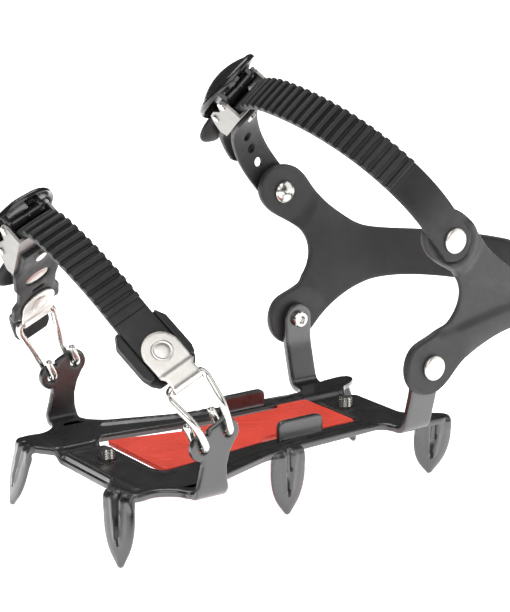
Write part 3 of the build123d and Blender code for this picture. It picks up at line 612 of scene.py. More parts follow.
def buckle_strap():
    """Perforated strap from the outer ankle rivet to the buckle."""
    end = holed_track.length
    root_r = 9
    root = [(root_r - root_r * math.cos(a), root_r * math.sin(a)) for a in np.linspace(-1.15, 1.15, 18)]
    upper = [(root_r + 6, STRAP_HALF), (end - 4, STRAP_HALF), (end - 1, 6.5), (end, 4)]
    outline = root + upper + [(s, -w) for s, w in reversed(upper)]
    holes = [ellipse(s, 0, 2.6, 2.0, 24) for s in (27.5, 37.5, 47.0)]
    slab("ankle_buckle_strap", outline, holed_track.place, 1.0, BLACK_RUBBER, "ankle_loop",
         ("ankle_buckle_strap",), holes, corner=0.4)


buckle_strap()


# ---- heel harness ----
SIDE_END = 163.0
BACK_R = 48.0
BACK_MID = SIDE_END + BACK_R * math.pi / 2
WEB_HALF = 1.3
LOBE_LIFT = 1.4
HARNESS_EDGE = [
    (BACK_MID, 92.5), (215, 91.6), (197, 91.5), (174, 92.8), (163, 95.8), (154.5, 101), (145, 108.5),
    (138, 116.5), (131.5, 124), (121, 127.6), (112, 123.5), (109.6, 115.5), (114.5, 107.5), (122, 102.6),
    (129.5, 97.5), (133.6, 91), (133.4, 83), (129, 76), (120.5, 71), (112, 67), (108.6, 58), (112, 49.6),
    (121, 45.6), (130, 49.2), (137, 56), (147, 62.5), (160, 67.4), (176, 69.6), (197, 70), (BACK_MID, 69.5),
]
WEB = [(128.0, 97.5), (140.0, 93.0), (158.0, 86.5), (184.0, 82.5), (158.0, 80.0), (140.0, 76.5), (126.0, 72.5)]
# each pivot with the wall's distance from the middle plane there
LOBES = ((REAR_PIVOT, 47.3), (ANKLE_PIVOT, 56.0))
PIVOT_HOLE = 2.58
LIP_TURN = math.radians(39)


def smooth_step(value):
    t = np.clip(value, 0, 1)
    return t * t * (3 - 2 * t)


def harness_place(s, z, h):
    """Point on the harness wall: s runs round the heel from the inner side to the outer, h outward."""
    side = -1
    if s > BACK_MID:
        s = 2 * BACK_MID - s
        side = 1
    (low_pivot, low_v), (up_pivot, up_v) = LOBES
    v = low_v + (z - low_pivot[1]) * (up_v - low_v) / (up_pivot[1] - low_pivot[1])
    for pivot, lobe_v in LOBES:
        near = float(smooth_step((20 - math.dist((s, z), pivot)) / 6))
        v += (lobe_v - v) * near
    a = max(0.0, s - SIDE_END) / BACK_R
    depth = 40 + (z - 42) / 22
    x = min(s, SIDE_END) + depth * math.sin(a)
    out = Vector((math.sin(a) / depth, side * math.cos(a) / v, 0)).normalized()
    return DRAWN @ (Vector((x, side * v * math.cos(a), z)) + out * (WEB_HALF + h))


def harness_relief(uv, away):
    """Thick rounded arms from both lobes that merge at the back, a sunk web between them."""
    s = np.where(uv[:, 0] > BACK_MID, 2 * BACK_MID - uv[:, 0], uv[:, 0])
    folded = np.stack((s, uv[:, 1]), axis=1)
    web_edge = edge_distance(folded, [WEB])
    signed = np.where(odd_inside(folded, [WEB]), web_edge, -web_edge)
    arm = 1 - smooth_step((signed + 3.2) / 4.2)
    across = np.minimum(away, np.maximum(-signed, 0))
    crown = 1.9 * np.sqrt(np.clip(1 - (1 - np.clip(across / 8.5, 0, 1)) ** 2, 0, 1))
    lift = arm * (0.9 + crown * 0.75)
    for pivot, _ in LOBES:
        far = np.linalg.norm(folded - np.array(pivot), axis=1)
        blend = 1 - smooth_step((far - 10.5) / 7)
        lift = lift * (1 - blend) + LOBE_LIFT * blend
    # raised lip below the strap's round end, on the side away from the strap
    d = folded - np.array(ANKLE_PIVOT)
    far = np.linalg.norm(d, axis=1)
    facing = (d[:, 0] * math.sin(LIP_TURN) - d[:, 1] * math.cos(LIP_TURN)) / np.maximum(far, 1e-6)
    lip = smooth_step((far - 9.6) / 1.2) * smooth_step((facing + 0.05) / 0.3)
    lift = lift + lip * (1 - smooth_step((far - 12.4) / 3)) * 1.3
    return lift * smooth_step(away / 1.1 + 0.25)


def heel_harness():
    _, near, _ = smooth_path(HARNESS_EDGE, 1.4)
    near = [tuple(p) for p in near]
    far = [(2 * BACK_MID - x, z) for x, z in reversed(near)][1:-1]
    holes = []
    for (px, pz), _ in LOBES:
        holes += [ellipse(x, pz, PIVOT_HOLE, PIVOT_HOLE, 20) for x in (px, 2 * BACK_MID - px)]
    slab("heel_harness", near + far, harness_place, WEB_HALF, GREY_RUBBER, "harness", ("heel_harness",),
         holes, corner=0.9, cell=1.3, top=harness_relief)


heel_harness()


# ---- rivets and screws through the harness ----
def pivot_frame(pivot, side):
    """Frame on a pivot whose z axis points out of the boot on that side."""
    return local(DRAWN @ Vector((pivot[0], 0, pivot[1])), (1, 0, 0), (0, side, 0))


def harness_rivets():
    lathe("inner_harness_rivet", pivot_frame(REAR_PIVOT, -1), (
        (4.2, 42.4), (4.6, 42.8), (4.6, 44), (2.5, 44), (2.5, 51.6), (5.1, 51.6), (5.4, 51.9), (5.4, 52.7),
        (5.1, 53.1), (4.4, 53.3), (2.4, 53.36), (0.3, 53.38),
    ), STEEL_SATIN, "frame", ("inner_harness_rivet",))
    lathe("outer_harness_screw", pivot_frame(REAR_PIVOT, 1), (
        (0.3, 43.0), (1.75, 43.0, 1), (1.75, 41.9, 1), (2.0, 41.7), (3.2, 41.7), (3.7, 42.2), (3.7, 44),
        (2.5, 44), (2.5, 51.6), (4.7, 51.6), (5.0, 51.9), (5.0, 53.2), (4.6, 53.6), (2.0, 53.8),
        (0.3, 53.8),
    ), STEEL_POLISHED, "frame", ("outer_harness_screw",))
    lathe("inner_ankle_rivet", pivot_frame(ANKLE_PIVOT, -1), (
        (4.2, 54.1), (4.6, 54.4), (4.6, 55.7), (2.5, 55.7), (2.5, 62.85), (5.1, 62.85), (5.4, 63.1),
        (5.4, 63.7), (5.1, 64.1), (4.4, 64.32), (2.4, 64.38), (0.3, 64.4),
    ), STEEL_SATIN, "ankle_loop", ("ankle_rivets",))
    lathe("outer_ankle_rivet", pivot_frame(ANKLE_PIVOT, 1), (
        (0.3, 53.2), (1.5, 53.28), (3.0, 53.7), (4.2, 54.3), (5.0, 55.0), (5.3, 55.5), (5.3, 55.7),
        (2.5, 55.7), (2.5, 62.35), (4.4, 62.35), (4.6, 62.6), (4.6, 63.2), (4.2, 63.5), (0.3, 63.6),
    ), STEEL_POLISHED, "ankle_loop", ("ankle_rivets",))


harness_rivets()

# ---- wire bails ----
WIRE_R = 1.5
EAR_GAP = 6.2
EAR_MIDDLE = 58.5
EAR_TILT = math.radians(24)
EAR_R = 5.5
EAR_HOLE = 2.1
EARS_AT = (5.8, 50.6)


def wire_bail(name, side, roll_at, body):
    """Bent wire: a hook through each ear, two legs and a bar across the top."""
    y0 = side * EAR_MIDDLE
    half = []
    for y, u, w in (
        (-4.9, 8.5, 1), (-4.7, 2.2, 1), (-2.6, 0, 1), (2.6, 0, 1), (4.7, 2.4, 1), (5.3, 9, 1.08),
        (4.4, 15, 1.22),
    ):
        half.append((y0 + side * y, u, w * EAR_GAP))
    roll_y, roll_up = roll_at
    half += [(roll_y + side * 0.4, roll_up - 3, 9.3), (roll_y, roll_up, 7.6)]
    line = [(y, u, -w) for y, u, w in half] + half[::-1]
    line = rounded_line(line, 2.6, 6)
    verts, faces = tube_of_rings(wire([FRONT @ Vector(p) for p in line], WIRE_R * MM))
    piece(name, verts, faces, STEEL_POLISHED, body, (name,))


wire_bail("inner_wire_bail", -1, NEAR_ROLL_AT, "inner_bail")
wire_bail("outer_wire_bail", 1, FAR_ROLL_AT, "outer_bail")


# ---- steel tongues on the bails, their rivets and the moulded pads ----
TONGUE_MID = 2.28
TONGUE_END = 22.4
TONGUE_R = 8.4
ROLL_TURN = 230
RIVET_X = 13.8
RIVET_HOLE = 2.7


def tongue(name, base):
    """Sheet rolled round the bail's bar, then straight, with a round end."""
    wrap = []
    for turn in range(0, ROLL_TURN, 23):
        a = math.radians(90 + ROLL_TURN - turn)
        wrap.append((TONGUE_MID * math.cos(a), TONGUE_MID * math.sin(a)))
    track = Track(base, wrap + [(x, TONGUE_MID) for x in (0, 4, 10, 16, TONGUE_END)])
    start = float(track.length - TONGUE_END)
    turns = [math.radians(a) for a in range(-85, 86, 10)]
    end = [(start + RIVET_X + TONGUE_R * math.cos(a), TONGUE_R * math.sin(a)) for a in turns]
    outline = [(0.2, 6.6), (0.2, -6.6), (start + 3.2, -6.8), (start + 4.6, -8.1)] + end
    outline += [(start + 4.6, 8.1), (start + 3.2, 6.8)]

    def ridge(uv, away):
        s = uv[:, 0] - start
        return 0.3 * np.exp(-((s - 4.6) / 0.8) ** 2) - 0.18 * np.exp(-((s - 6.4) / 0.9) ** 2)

    slab(name, outline, track.place, 0.55, STEEL_SATIN, "front_loop", (name,), corner=0.3, cell=1.0, top=ridge)


def end_rivet(name, base, low):
    """Low round head with a sunk ring, and the shank behind it."""
    lathe(name, flat_out(base) @ Matrix.Translation((RIVET_X, 0, 0)), (
        (2.4, low), (2.6, low + 0.2), (2.6, 2.85), (4.5, 2.85), (4.6, 3.0), (4.6, 3.25), (4.3, 3.5),
        (3.7, 3.58), (3.45, 3.45), (3.2, 3.42), (2.9, 3.55), (1.6, 3.62), (0.3, 3.64),
    ), STEEL_SATIN, "front_loop", ("end_rivets",))


def flat_out(base):
    """The base's x axis kept, z turned to the base's y, for pieces that stand on the strap."""
    return base @ Matrix.Rotation(math.radians(-90), 4, "X")


tongue("inner_end_tongue", near_roll)
tongue("outer_end_tongue", far_roll)
end_rivet("inner_end_rivet", near_roll, -3.4)
end_rivet("outer_end_rivet", far_roll, -1.5)


def inner_end_pad():
    """Wide pad under the strap's end, with a raised chamfered wing on each side."""
    def sheet(x, w, h):
        return near_roll @ Vector((x, -2.25 + h, w))

    def wing(x, w, h):
        return near_roll @ Vector((x, -0.7 + h, w))

    half = [(3.2, -8.5), (6, -11), (10, -12.3), (26, -12.3), (31, -9)]
    outline = rounded(half + [(x, -w) for x, w in reversed(half)], 0.8)
    slab("inner_end_pad", outline, sheet, 1.15, BLACK_RUBBER, "front_loop", ("inner_end_pad",),
         [ellipse(RIVET_X, 0, RIVET_HOLE, RIVET_HOLE, 20)])
    for side, label in ((-1, "fore"), (1, "aft")):
        edge = mirrored([(7, 8.7), (29.5, 8.7), (29.8, 9.6), (26, 12.2), (10, 12.2), (6.6, 11)], side)

        def chamfer(uv, away):
            return -0.8 * smooth_step((np.abs(uv[:, 1]) - 9.6) / 2.2)

        slab("inner_end_pad_wing_" + label, rounded(edge, 0.7), wing, 2.3, BLACK_RUBBER, "front_loop", (),
             corner=0.45, cell=1.1, top=chamfer)


def outer_end_pad():
    """Shaped pad of the buckle side: a flap that hangs behind the bail, wings, a slot and an oval badge."""
    track = Track(far_roll, [
        (-14.8, 1.0), (-10.9, -1.2), (-6.1, -3.2), (-1.2, -4.4), (2.6, -3.9), (4.9, -2.1), (7.6, 0.1),
        (12, 0.3), (20, 0.3), (28, 0.25), (34, -0.4), (42.6, -1.0), (50, -0.25), (58.1, 0.55),
    ])

    def along(x):
        return float(np.interp(x, track.p[:, 0], track.s))

    half = [
        (-14.8, 6.4), (-12.4, 8.8), (2, 9.5), (8, 12), (17, 12), (20, 9.6), (28, 9.6), (31, 11), (41, 11),
        (44, 8.6), (58, 8.6),
    ]
    outline = rounded([(along(x), -w) for x, w in half] + [(along(x), w) for x, w in reversed(half)], 1.2)
    slot = rounded([(along(24.4), -3), (along(26.4), -3), (along(26.4), 3), (along(24.4), 3)], 0.9)
    badge = along(33.5)
    window = ellipse(badge, 0, 3.2, 6.2)
    rivet = ellipse(along(RIVET_X), 0, RIVET_HOLE, RIVET_HOLE, 20)
    slab("outer_end_pad", outline, track.place, 1.2, BLACK_RUBBER, "front_loop", ("outer_end_pad",),
         [slot, window, rivet], corner=0.5)

    def dish(uv, away):
        return 0.5 * smooth_step(away / 1.6) - 0.5

    slab("outer_pad_badge", ellipse(badge, 0, 3.3, 6.3), track.place, 0.9, STEEL_SATIN, "front_loop", (),
         corner=0.3, cell=1.0, top=dish)


inner_end_pad()
outer_end_pad()


# ---- anti-snow plate ----
SNOW_PLATE_MID = 27.9


def anti_snow_plate():
    """Red plate between the rails, notched round the tabs, with faint raised contour lines."""
    edge = [
        (4.6, -24.4), (11, -24.6), (30, -22), (58, -18.4), (60.4, -14.6), (89.2, -14.6), (91, -18.4),
        (106.6, -18.2), (106.9, 0), (106.6, 18.2), (91, 18.2), (89.2, 14.6), (60.4, 14.6), (56, 12.6),
        (38, 11.5), (4.6, 20),
    ]

    def place(x, y, h):
        return DRAWN @ Vector((x, y, SNOW_PLATE_MID + h))

    def contours(uv, away):
        x, y = uv[:, 0], uv[:, 1]
        hills = ((22, -6, 12, 7.2), (52, -3, 15.6, 8.8), (96, 1, 12, 8))
        field = sum(9 * np.exp(-(((x - cx) / rx) ** 2 + ((y - cy) / ry) ** 2)) for cx, cy, rx, ry in hills)
        lines = np.exp(-((field % 2.2 - 1.1) / 0.28) ** 2)
        return 0.16 * lines * smooth_step((away - 2) / 2) - 0.1 * smooth_step((away - 0.9) / 0.6)

    slab("anti_snow_plate", rounded(edge, 1.6), place, 1.2, RED_PLASTIC, "frame", ("anti_snow_plate",),
         corner=0.5, cell=0.8, top=contours)


anti_snow_plate()


# ---- side plates: pressed and bent steel sheet ----
SHEET_HALF = 1.5
SHEET_MID = 27.5
BOLT_HOLE = 3.05
BOLT_PLACES = (-7.3, 115.4)
POINT_HALF = 8.5
POINT_TIP = 0.2
FOLD_START = 4
FOLD_BEND = 3.8


class Strip:
    """A bent strip of sheet: it follows a polyline in space with rounded bends, wide along one vector."""

    def __init__(self, points, wide, bend):
        line = [Vector(p) for p in rounded_line(points, bend, 8)]
        dense = []
        for a, b in zip(line, line[1:]):
            parts = max(1, int((b - a).length / 0.8))
            dense += [a.lerp(b, k / parts) for k in range(parts)]
        self.p = dense + [line[-1]]
        steps = [(b - a).length for a, b in zip(self.p, self.p[1:])]
        self.s = np.concatenate(([0], np.cumsum(steps)))
        self.wide = Vector(wide).normalized()
        self.length = float(self.s[-1])

    def at(self, s):
        k = int(np.clip(np.searchsorted(self.s, s) - 1, 0, len(self.p) - 2))
        along = self.p[k + 1] - self.p[k]
        t = (s - self.s[k]) / along.length
        before = self.p[max(k - 1, 0)]
        after = self.p[min(k + 2, len(self.p) - 1)]
        tangent = (self.p[k + 1] - before).lerp(after - self.p[k], min(max(t, 0), 1)).normalized()
        return self.p[k] + along * t, tangent

    def place(self, s, w, h):
        centre, tangent = self.at(s)
        across = (self.wide - tangent * self.wide.dot(tangent)).normalized()
        return DRAWN @ (centre + across * w + across.cross(tangent) * h)

    def s_where(self, axis, value):
        """Distance along the strip where its x, y or z (0, 1, 2) first reaches value, from its far end."""
        coords = np.array([p[axis] for p in self.p])[::-1]
        order = np.argsort(coords, kind="stable")
        return float(np.interp(value, coords[order], self.s[::-1][order]))


def rail(name, side, tongue_reach, node):
    """Flat part of one side plate with its two cross tongues; the outer one dips under the inner one."""
    front, rear = tongue_reach
    edge = [
        (-25.5, 30), (-22.8, 45.2), (-19, 45.6), (-13, 44.5), (-8.5, 46.5), (-4.4, 50), (-3.0, 54.6),
        (12.0, 54.6), (12.8, 50.5), (18.5, 45.0), (47, 35), (52, 34), (68, 31.2), (111, 28.7),
        (114.2, 31.5), (115, 36.4), (129, 36.4), (131, 37.2), (141.5, 38.2), (145.6, 35.2), (144.6, 31.8),
        (139.5, 28.0), (134, 25.5), (130.25, 20), (130.25, -rear), (107.75, -rear), (107.6, 19),
        (86.5, 19), (58, 19), (30, 22.5), (4, 26), (1.4, 21), (1.4, -front), (-19, -front), (-19, 21),
    ]
    outline = rounded(mirrored(edge, side), 2.4, 4)
    # pressed ribs: (height, line); each line goes there and back, as a closed loop
    ribs = (
        (0.85, [(14, 39), (45, 29.8), (68.5, 26), (108, 24.3)]),
        (0.35, [(-17, 24), (-17, 38)]),
        (0.35, [(111.5, 8), (126.5, 8)]),
    )

    def place(x, y, h):
        jog = 0.0
        if side > 0 and (x < 4 or x > 107):
            jog = 2 * SHEET_HALF * float(smooth_step((22.4 - y) / 3.6))
        return DRAWN @ Vector((x, y, SHEET_MID - jog + h))

    def pressed(uv, away):
        folded = np.stack((uv[:, 0], uv[:, 1] * side), axis=1)
        lift = 0.28 * np.exp(-((away - 1.9) / 0.8) ** 2)
        for height, line in ribs:
            far = edge_distance(folded, [line + line[-2:0:-1]])
            lift += height * (1 - smooth_step((far - 0.7) / 1.3))
        return lift

    def pressed_under(uv, away):
        return 0.6 * pressed(uv, away)

    holes = [ellipse(x, 0, BOLT_HOLE, BOLT_HOLE) for x in BOLT_PLACES]
    slab(name, outline, place, SHEET_HALF, PAINT, "frame", (node,), holes, corner=0.9, cell=1.2,
         top=pressed, under=pressed_under)


def point(name, side, root, yaw, tip, node):
    """Spear-shaped point bent down from the rail, with a long pressed groove between two raised lips."""
    wide = Vector((math.sin(math.radians(yaw)), side * math.cos(math.radians(yaw)), 0))
    inward = Vector((wide.y, -wide.x, 0))
    corner = Vector((root[0], side * root[1], SHEET_MID))
    middle = Vector((60, 0, SHEET_MID))
    if inward.dot(middle - corner) < 0:
        inward = -inward
    end = Vector((tip[0], side * tip[1], POINT_TIP))
    strip = Strip([corner + inward * FOLD_START, corner, end], wide, FOLD_BEND)
    top = strip.s_where(2, 24.5)
    length = strip.length - top
    flank = [(0, POINT_HALF * 0.97), (top - 3, POINT_HALF * 0.95)]
    spear = ((0.12, 1), (0.45, 0.93), (0.72, 0.66), (0.9, 0.3))
    flank += [(top + length * s, POINT_HALF * w) for s, w in spear]
    flank.append((strip.length - 0.5, POINT_HALF * 0.12))
    _, curve, _ = smooth_path(flank, 1.0)
    curve = [tuple(p) for p in curve]
    outline = curve + [(strip.length, 0.0)] + [(s, -w) for s, w in reversed(curve)]

    def groove(uv, away):
        s, w = uv[:, 0], np.abs(uv[:, 1])
        reach = np.clip((top + length * 0.66 - s) / (length * 0.66 + 6), 0, 1)
        start = smooth_step((s - 2) / 2.5)
        slot = 1.15 * np.sqrt(reach) * start
        inside = smooth_step((slot - w + 0.5) / 0.6) * start * (reach > 0)
        lips = np.exp(-((w - slot - 1.8 * np.sqrt(reach) - 0.2) / 0.9) ** 2) * start * smooth_step(reach * 6)
        bevel = 0.5 * smooth_step((3.2 - away) / 3.2)
        return 0.55 * lips - 1.2 * inside - bevel * smooth_step((s - top) / 4)

    def groove_under(uv, away):
        s, w = uv[:, 0], np.abs(uv[:, 1])
        bevel = 0.45 * smooth_step((3.2 - away) / 3.2)
        return bevel * smooth_step((s - top) / 4) - 0.25 * np.exp(-(w / 2.2) ** 2) * smooth_step((s - 3) / 4)

    def turned_over(relief):
        return lambda uv, away: -relief(uv, away)

    # the groove is on the face that looks away from the row frame's origin
    low = strip.length * 0.7
    faces = (groove, groove_under)
    if strip.place(low, 0, 1).length < strip.place(low, 0, -1).length:
        faces = (turned_over(groove_under), turned_over(groove))
    slab(name, outline, strip.place, 1.45, PAINT, "frame", (node,), corner=0.8, cell=0.9,
         top=faces[0], under=faces[1])


def front_upright(name, side, node):
    """Waisted upright with two ears for the bail's hooks."""
    y = side * EAR_MIDDLE
    strip = Strip([(0, side * 46, SHEET_MID), (0, y, SHEET_MID), (0, y, 62)], (1, 0, 0), 4.2)

    def s_of(z):
        return strip.s_where(2, z)

    def ear_edge(ear, first, last):
        turns = [math.radians(a) for a in range(first, last, -14)]
        return [(ear[0] + EAR_R * math.cos(a), ear[1] + EAR_R * math.sin(a)) for a in turns]

    along, up = EAR_GAP * math.cos(EAR_TILT), EAR_GAP * math.sin(EAR_TILT)
    ears = [(EARS_AT[0] + k * along, EARS_AT[1] + k * up) for k in (-1, 1)]
    neck = [(-2.4, 31.0), (-1.0, 36.0), (0.2, 41.0), (0.2, 43.2)]
    left, right = ear_edge(ears[0], 262, 60), ear_edge(ears[1], 132, -62)
    back = [(12.6, 44.5), (11.2, 39.5), (11.2, 34.0), (12.0, 30.5)]
    between = [(2.6, 54.7), (5.0, 56.0)]
    loop = [(s_of(z), x) for x, z in neck + left + between + right + back]
    outline = [(0, -2.4)] + loop + [(0, 12.0)]
    holes = [[(s_of(z), x) for x, z in ellipse(*ear, EAR_HOLE, EAR_HOLE, 20)] for ear in ears]
    slab(name, outline, strip.place, SHEET_HALF, PAINT, "frame", (node,), holes, corner=0.7, cell=1.0)


def rear_upright(name, side, node):
    """Straight strip that leans out, then stands beside the harness pivot, with a round end."""
    x, z = REAR_PIVOT
    strip = Strip([
        (x, side * 31, SHEET_MID), (x, side * 40.1, SHEET_MID), (x, side * 45.5, 47.8), (x, side * 45.5, 70),
    ], (1, 0, 0), 4.5)
    level = strip.s_where(2, z)
    half = 7
    end = [(level + half * math.sin(a), half * math.cos(a)) for a in np.linspace(0, math.pi, 15)]
    outline = [(0, -half), (0, half)] + end
    hole = ellipse(level, 0, 2.5, 2.5, 20)
    slab(name, outline, strip.place, SHEET_HALF, PAINT, "frame", (node,), [hole], corner=0.7, cell=1.2)


def boot_tab(name, side, node):
    """Upturned tab beside the boot, rounded at its top corners."""
    places = ((27.5, SHEET_MID), (21.3, SHEET_MID), (21.3, 37))
    strip = Strip([(74.6, side * y, z) for y, z in places], (1, 0, 0), 3.0)
    half = 11.5
    outline = rounded([(0, -half), (strip.length, -half), (strip.length, half), (0, half)], 3.4, 6)
    slab(name, outline, strip.place, 1.35, PAINT, "frame", (node,), corner=0.75, cell=1.2)


# each point: name, root on the rail, turn of its fold line, tip
POINTS = (
    ("front", (-25.0, 37.5), 10, (-28.7, 44.0)),
    ("middle", (59.7, 33.6), 90, (59.5, 33.5)),
    ("rear", (136.5, 35.5), 72, (141.5, 27.0)),
)
for side_name, side_sign, reach in (("inner", -1, (16, 12)), ("outer", 1, (18, 14))):
    plate_node = side_name + "_side_plate"
    rail(plate_node, side_sign, reach, plate_node)
    for place_name, root_at, turn, tip_at in POINTS:
        point(f"{side_name}_{place_name}_point", side_sign, root_at, turn, tip_at, plate_node)
    front_upright(side_name + "_front_upright", side_sign, plate_node)
    rear_upright(side_name + "_rear_upright", side_sign, plate_node)
    boot_tab(side_name + "_boot_tab", side_sign, plate_node)


# ---- ratchet buckles: lever, pull cord and tab ----
PIVOT_PIN = (-25.0, 9.4)
CORD_RING = (5.6, 11.0)
CORD_R = 3.0
STRAND_OFF = 0.36
STRAND_R = 0.42
DOME_MID = -12.8
DOME_SHIFT = 2.2
DOME_WIDE = 17.0
DOME_RISE = 2.4
DOME_SAG = 5.4


def arc_height(x, ends, top):
    """Height of the circle through ends and the top point above the place x."""
    (x0, y0), (x1, y1), (x2, y2) = ends[0], top, ends[1]
    a = np.array(((x1 - x0, y1 - y0), (x2 - x0, y2 - y0))) * 2
    b = np.array((x1 ** 2 - x0 ** 2 + y1 ** 2 - y0 ** 2, x2 ** 2 - x0 ** 2 + y2 ** 2 - y0 ** 2))
    cx, cy = np.linalg.solve(a, b)
    r = math.hypot(x0 - cx, y0 - cy)
    return cy + np.sqrt(np.maximum(r * r - (x - cx) ** 2, 0))


def dome(prefix, base):
    """Oval lever cap: arched, crowned across, with a raised rim and a finger ridge."""
    def place(x, w, h):
        middle = 0.5 * (arc_height(x, ((6.8, 10.6), (-32, 12.2)), (-12.5, 18.4))
                        + arc_height(x, ((5.6, 9.2), (-31, 10.6)), (-12.5, 16.2)))
        rise = DOME_RISE * float(smooth_step((3.0 - x) / 12))
        sag = DOME_SAG * ((w - DOME_SHIFT) / DOME_WIDE) ** 2
        return base @ Vector((x, float(middle) + rise - sag + h, w))

    def top(uv, away):
        rim = np.exp(-((away - 1.1) / 0.7) ** 2)
        ridge = np.exp(-((uv[:, 0] - DOME_MID - 8) / 1.1) ** 2) * smooth_step((away - 3) / 2)
        return 0.35 * rim + 0.3 * ridge - 0.3 * smooth_step((away - 2) / 1.5)

    def under(uv, away):
        return 0.5 * smooth_step((away - 1.4) / 1.2)

    eyelet = ellipse(2.6, 0, 1.5, 1.5, 18)
    outline = ellipse(DOME_MID, DOME_SHIFT, 18.8, DOME_WIDE, 72)
    slab(prefix + "_buckle_lever", outline, place, 0.95, GLOSS, prefix + "_lever",
         (prefix + "_buckle_lever",), [eyelet], corner=0.5, cell=1.0, top=top, under=under)


def lever_hub(prefix, base):
    """Round hub on the pivot pin, and the two cheeks that carry the cap."""
    hub = base @ Matrix.Translation((*PIVOT_PIN, 0))
    lathe(prefix + "_lever_hub", hub, (
        (1.4, -7.4), (2.3, -7.4), (2.6, -7.1), (2.6, -1.2), (2.3, -0.9), (2.3, 0.9), (2.6, 1.2), (2.6, 7.1),
        (2.3, 7.4), (1.4, 7.4),
    ), GLOSS, prefix + "_lever")
    for w, tall, label in ((-7.95, 17.1, "fore"), (7.95, 18.3, "aft")):
        cheek = [(-28.2, 9.0), (-27.4, 14.6), (-17, tall), (-17, 13.5), (-22.0, 7.6), (-26.2, 6.6)]

        def place(x, y, h, w=w):
            return base @ Vector((x, y, w + h))

        slab(prefix + "_lever_cheek_" + label, rounded(cheek, 1.2), place, 1.2, GLOSS, prefix + "_lever", (),
             corner=0.4, cell=1.2)


def pull_cord(prefix, base):
    """Three-strand cord ring through the cap's eyelet."""
    for k in range(3):
        rings = []
        for a in full_turn(96):
            twist = 9 * a + 2 * math.pi * k / 3
            out = Vector((math.cos(a), math.sin(a), 0))
            centre = Vector((*CORD_RING, 0)) + out * (CORD_R + STRAND_OFF * math.cos(twist))
            centre.z = STRAND_OFF * math.sin(twist)
            ring = ellipse(0, 0, STRAND_R, STRAND_R, 8)
            rings.append([base @ (centre + out * c + Vector((0, 0, s))) for c, s in ring])
        verts, faces = tube_of_rings(rings, endless=True)
        piece(f"{prefix}_pull_cord_{k}", verts, faces, RED_CORD, prefix + "_pull", (prefix + "_pull_cord",))


def pull_tab(prefix, base):
    """Teardrop rubber tab that hangs from the cord ring."""
    top = base @ Vector((CORD_RING[0] + CORD_R * 0.8, CORD_RING[1], 0))
    hang = local(top, (1, 0, 0), (0, 0.5, -0.866))
    rings = []
    for drop, wide, thick in (
        (-0.9, 0.7, 0.5), (-0.6, 1.5, 1.1), (0.3, 2.1, 1.5), (2.2, 2.3, 1.8), (4.5, 2.9, 2.0),
        (7.2, 3.9, 2.2), (10.4, 5.1, 2.4), (13.8, 5.8, 2.35), (16.6, 5.5, 2.05), (18.4, 4.4, 1.55),
        (19.2, 2.7, 0.9), (19.4, 1.0, 0.35),
    ):
        ring = []
        for c, s in ellipse(0, 0, 1, 1):
            x = wide * math.copysign(abs(c) ** 0.8, c)
            y = thick * math.copysign(abs(s) ** 0.8, s)
            ring.append(hang @ Vector((x, y, drop)))
        rings.append(ring)
    verts, faces = tube_of_rings(rings)
    tab = piece(prefix + "_pull_tab", verts, faces, BLACK_RUBBER, prefix + "_pull", (prefix + "_pull_tab",))
    smooth = tab.modifiers.new("smooth", "SUBSURF")
    smooth.levels = smooth.render_levels = 1


for buckle_name, loop, (seat, toward) in (("front", FRONT, FRONT_SEAT), ("ankle", ANKLE, ANKLE_SEAT)):
    buckle_frame = turned(loop, *seat, -toward[0], -toward[1])
    for make in (dome, lever_hub, pull_cord, pull_tab):
        make(buckle_name, buckle_frame)


# ---- scene: floor, light and camera ----
LIT_POINT = Vector((0.03, 0.0, 0.05))


def add_area(name, place, size, power):
    """Rectangular light at place, in metres, that faces LIT_POINT."""
    light = bpy.data.lights.new(name, "AREA")
    light.shape = "RECTANGLE"
    light.size, light.size_y = size
    light.energy = power
    obj = bpy.data.objects.new(name, light)
    obj.location = place
    obj.rotation_euler = (LIT_POINT - Vector(place)).to_track_quat("-Z", "Y").to_euler()
    bpy.context.scene.collection.objects.link(obj)


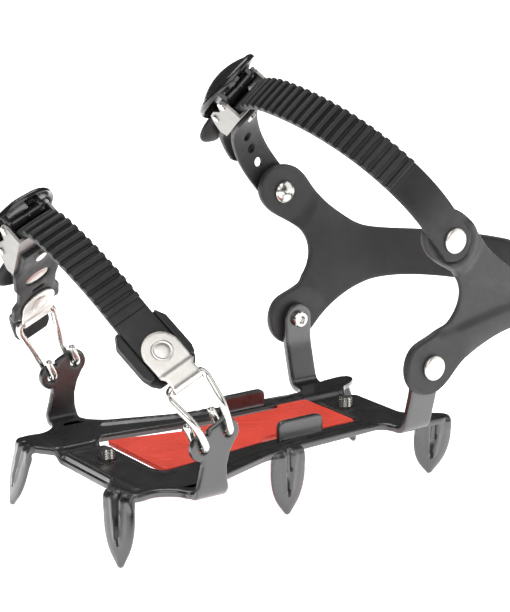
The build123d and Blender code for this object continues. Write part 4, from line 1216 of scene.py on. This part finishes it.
def studio():
    low = cad_box[0][2]
    half = 4.0
    mesh = bpy.data.meshes.new("floor")
    corners = [(-half, -half, low), (half, -half, low), (half, half, low), (-half, half, low)]
    mesh.from_pydata(corners, [], [(0, 1, 2, 3)])
    mesh.materials.append(floor_paper("floor"))
    floor = bpy.data.objects.new("floor", mesh)
    bpy.context.scene.collection.objects.link(floor)
    world = bpy.data.worlds.new("studio")
    world.use_nodes = True
    tree = world.node_tree
    background = tree.nodes["Background"]
    background.inputs["Color"].default_value = (1, 1, 1, 1)
    # full white for the eye and for soft light, nearly black in reflections
    ray = tree.nodes.new("ShaderNodeLightPath")
    level = tree.nodes.new("ShaderNodeMapRange")
    level.inputs["To Min"].default_value = 1.08
    level.inputs["To Max"].default_value = 0.06
    tree.links.new(ray.outputs["Is Glossy Ray"], level.inputs["Value"])
    tree.links.new(level.outputs["Result"], background.inputs["Strength"])
    bpy.context.scene.world = world
    add_area("key", (-0.5, -0.7, 0.9), (1.2, 1.2), 8.5)
    add_area("fill", (0.9, -0.6, 0.5), (1.0, 1.3), 5.0)
    add_area("back", (0.1, 0.65, 1.1), (1.0, 0.6), 5.0)


def camera():
    target = Vector((0.01255, 0.0, 0.0529))
    azimuth, elevation = math.radians(-35.14), math.radians(14.95)
    distance = 0.8955
    back = Vector((
        math.sin(azimuth) * math.cos(elevation), -math.cos(azimuth) * math.cos(elevation), math.sin(elevation),
    ))
    data = bpy.data.cameras.new("camera")
    data.lens = 124.67
    data.sensor_width = 36.0
    data.clip_start, data.clip_end = 0.01, 50.0
    obj = bpy.data.objects.new("camera", data)
    obj.location = target + back * distance
    obj.rotation_euler = (-back).to_track_quat("-Z", "Y").to_euler()
    bpy.context.scene.collection.objects.link(obj)
    bpy.context.scene.camera = obj


studio()
camera()
bpy.context.scene.view_settings.view_transform = "Standard"

# ---- CAD nodes that stay: finishes and softened edges ----
for node_name, node in frame["nodes"].items():
    if node.hide_render:
        continue
    slot_name = node.material_slots[0].material.name
    look = DULL_STEEL if node_name.endswith("buckle_base") else slot_name
    node.material_slots[0].material = LOOKS[look]
    soften = node.modifiers.new("soft_edges", "BEVEL")
    soften.width = 0.0005 if slot_name == PAINT else 0.00025
    soften.segments = 2
    soften.limit_method = "ANGLE"
    soften.angle_limit = math.radians(32)
    soften.harden_normals = True
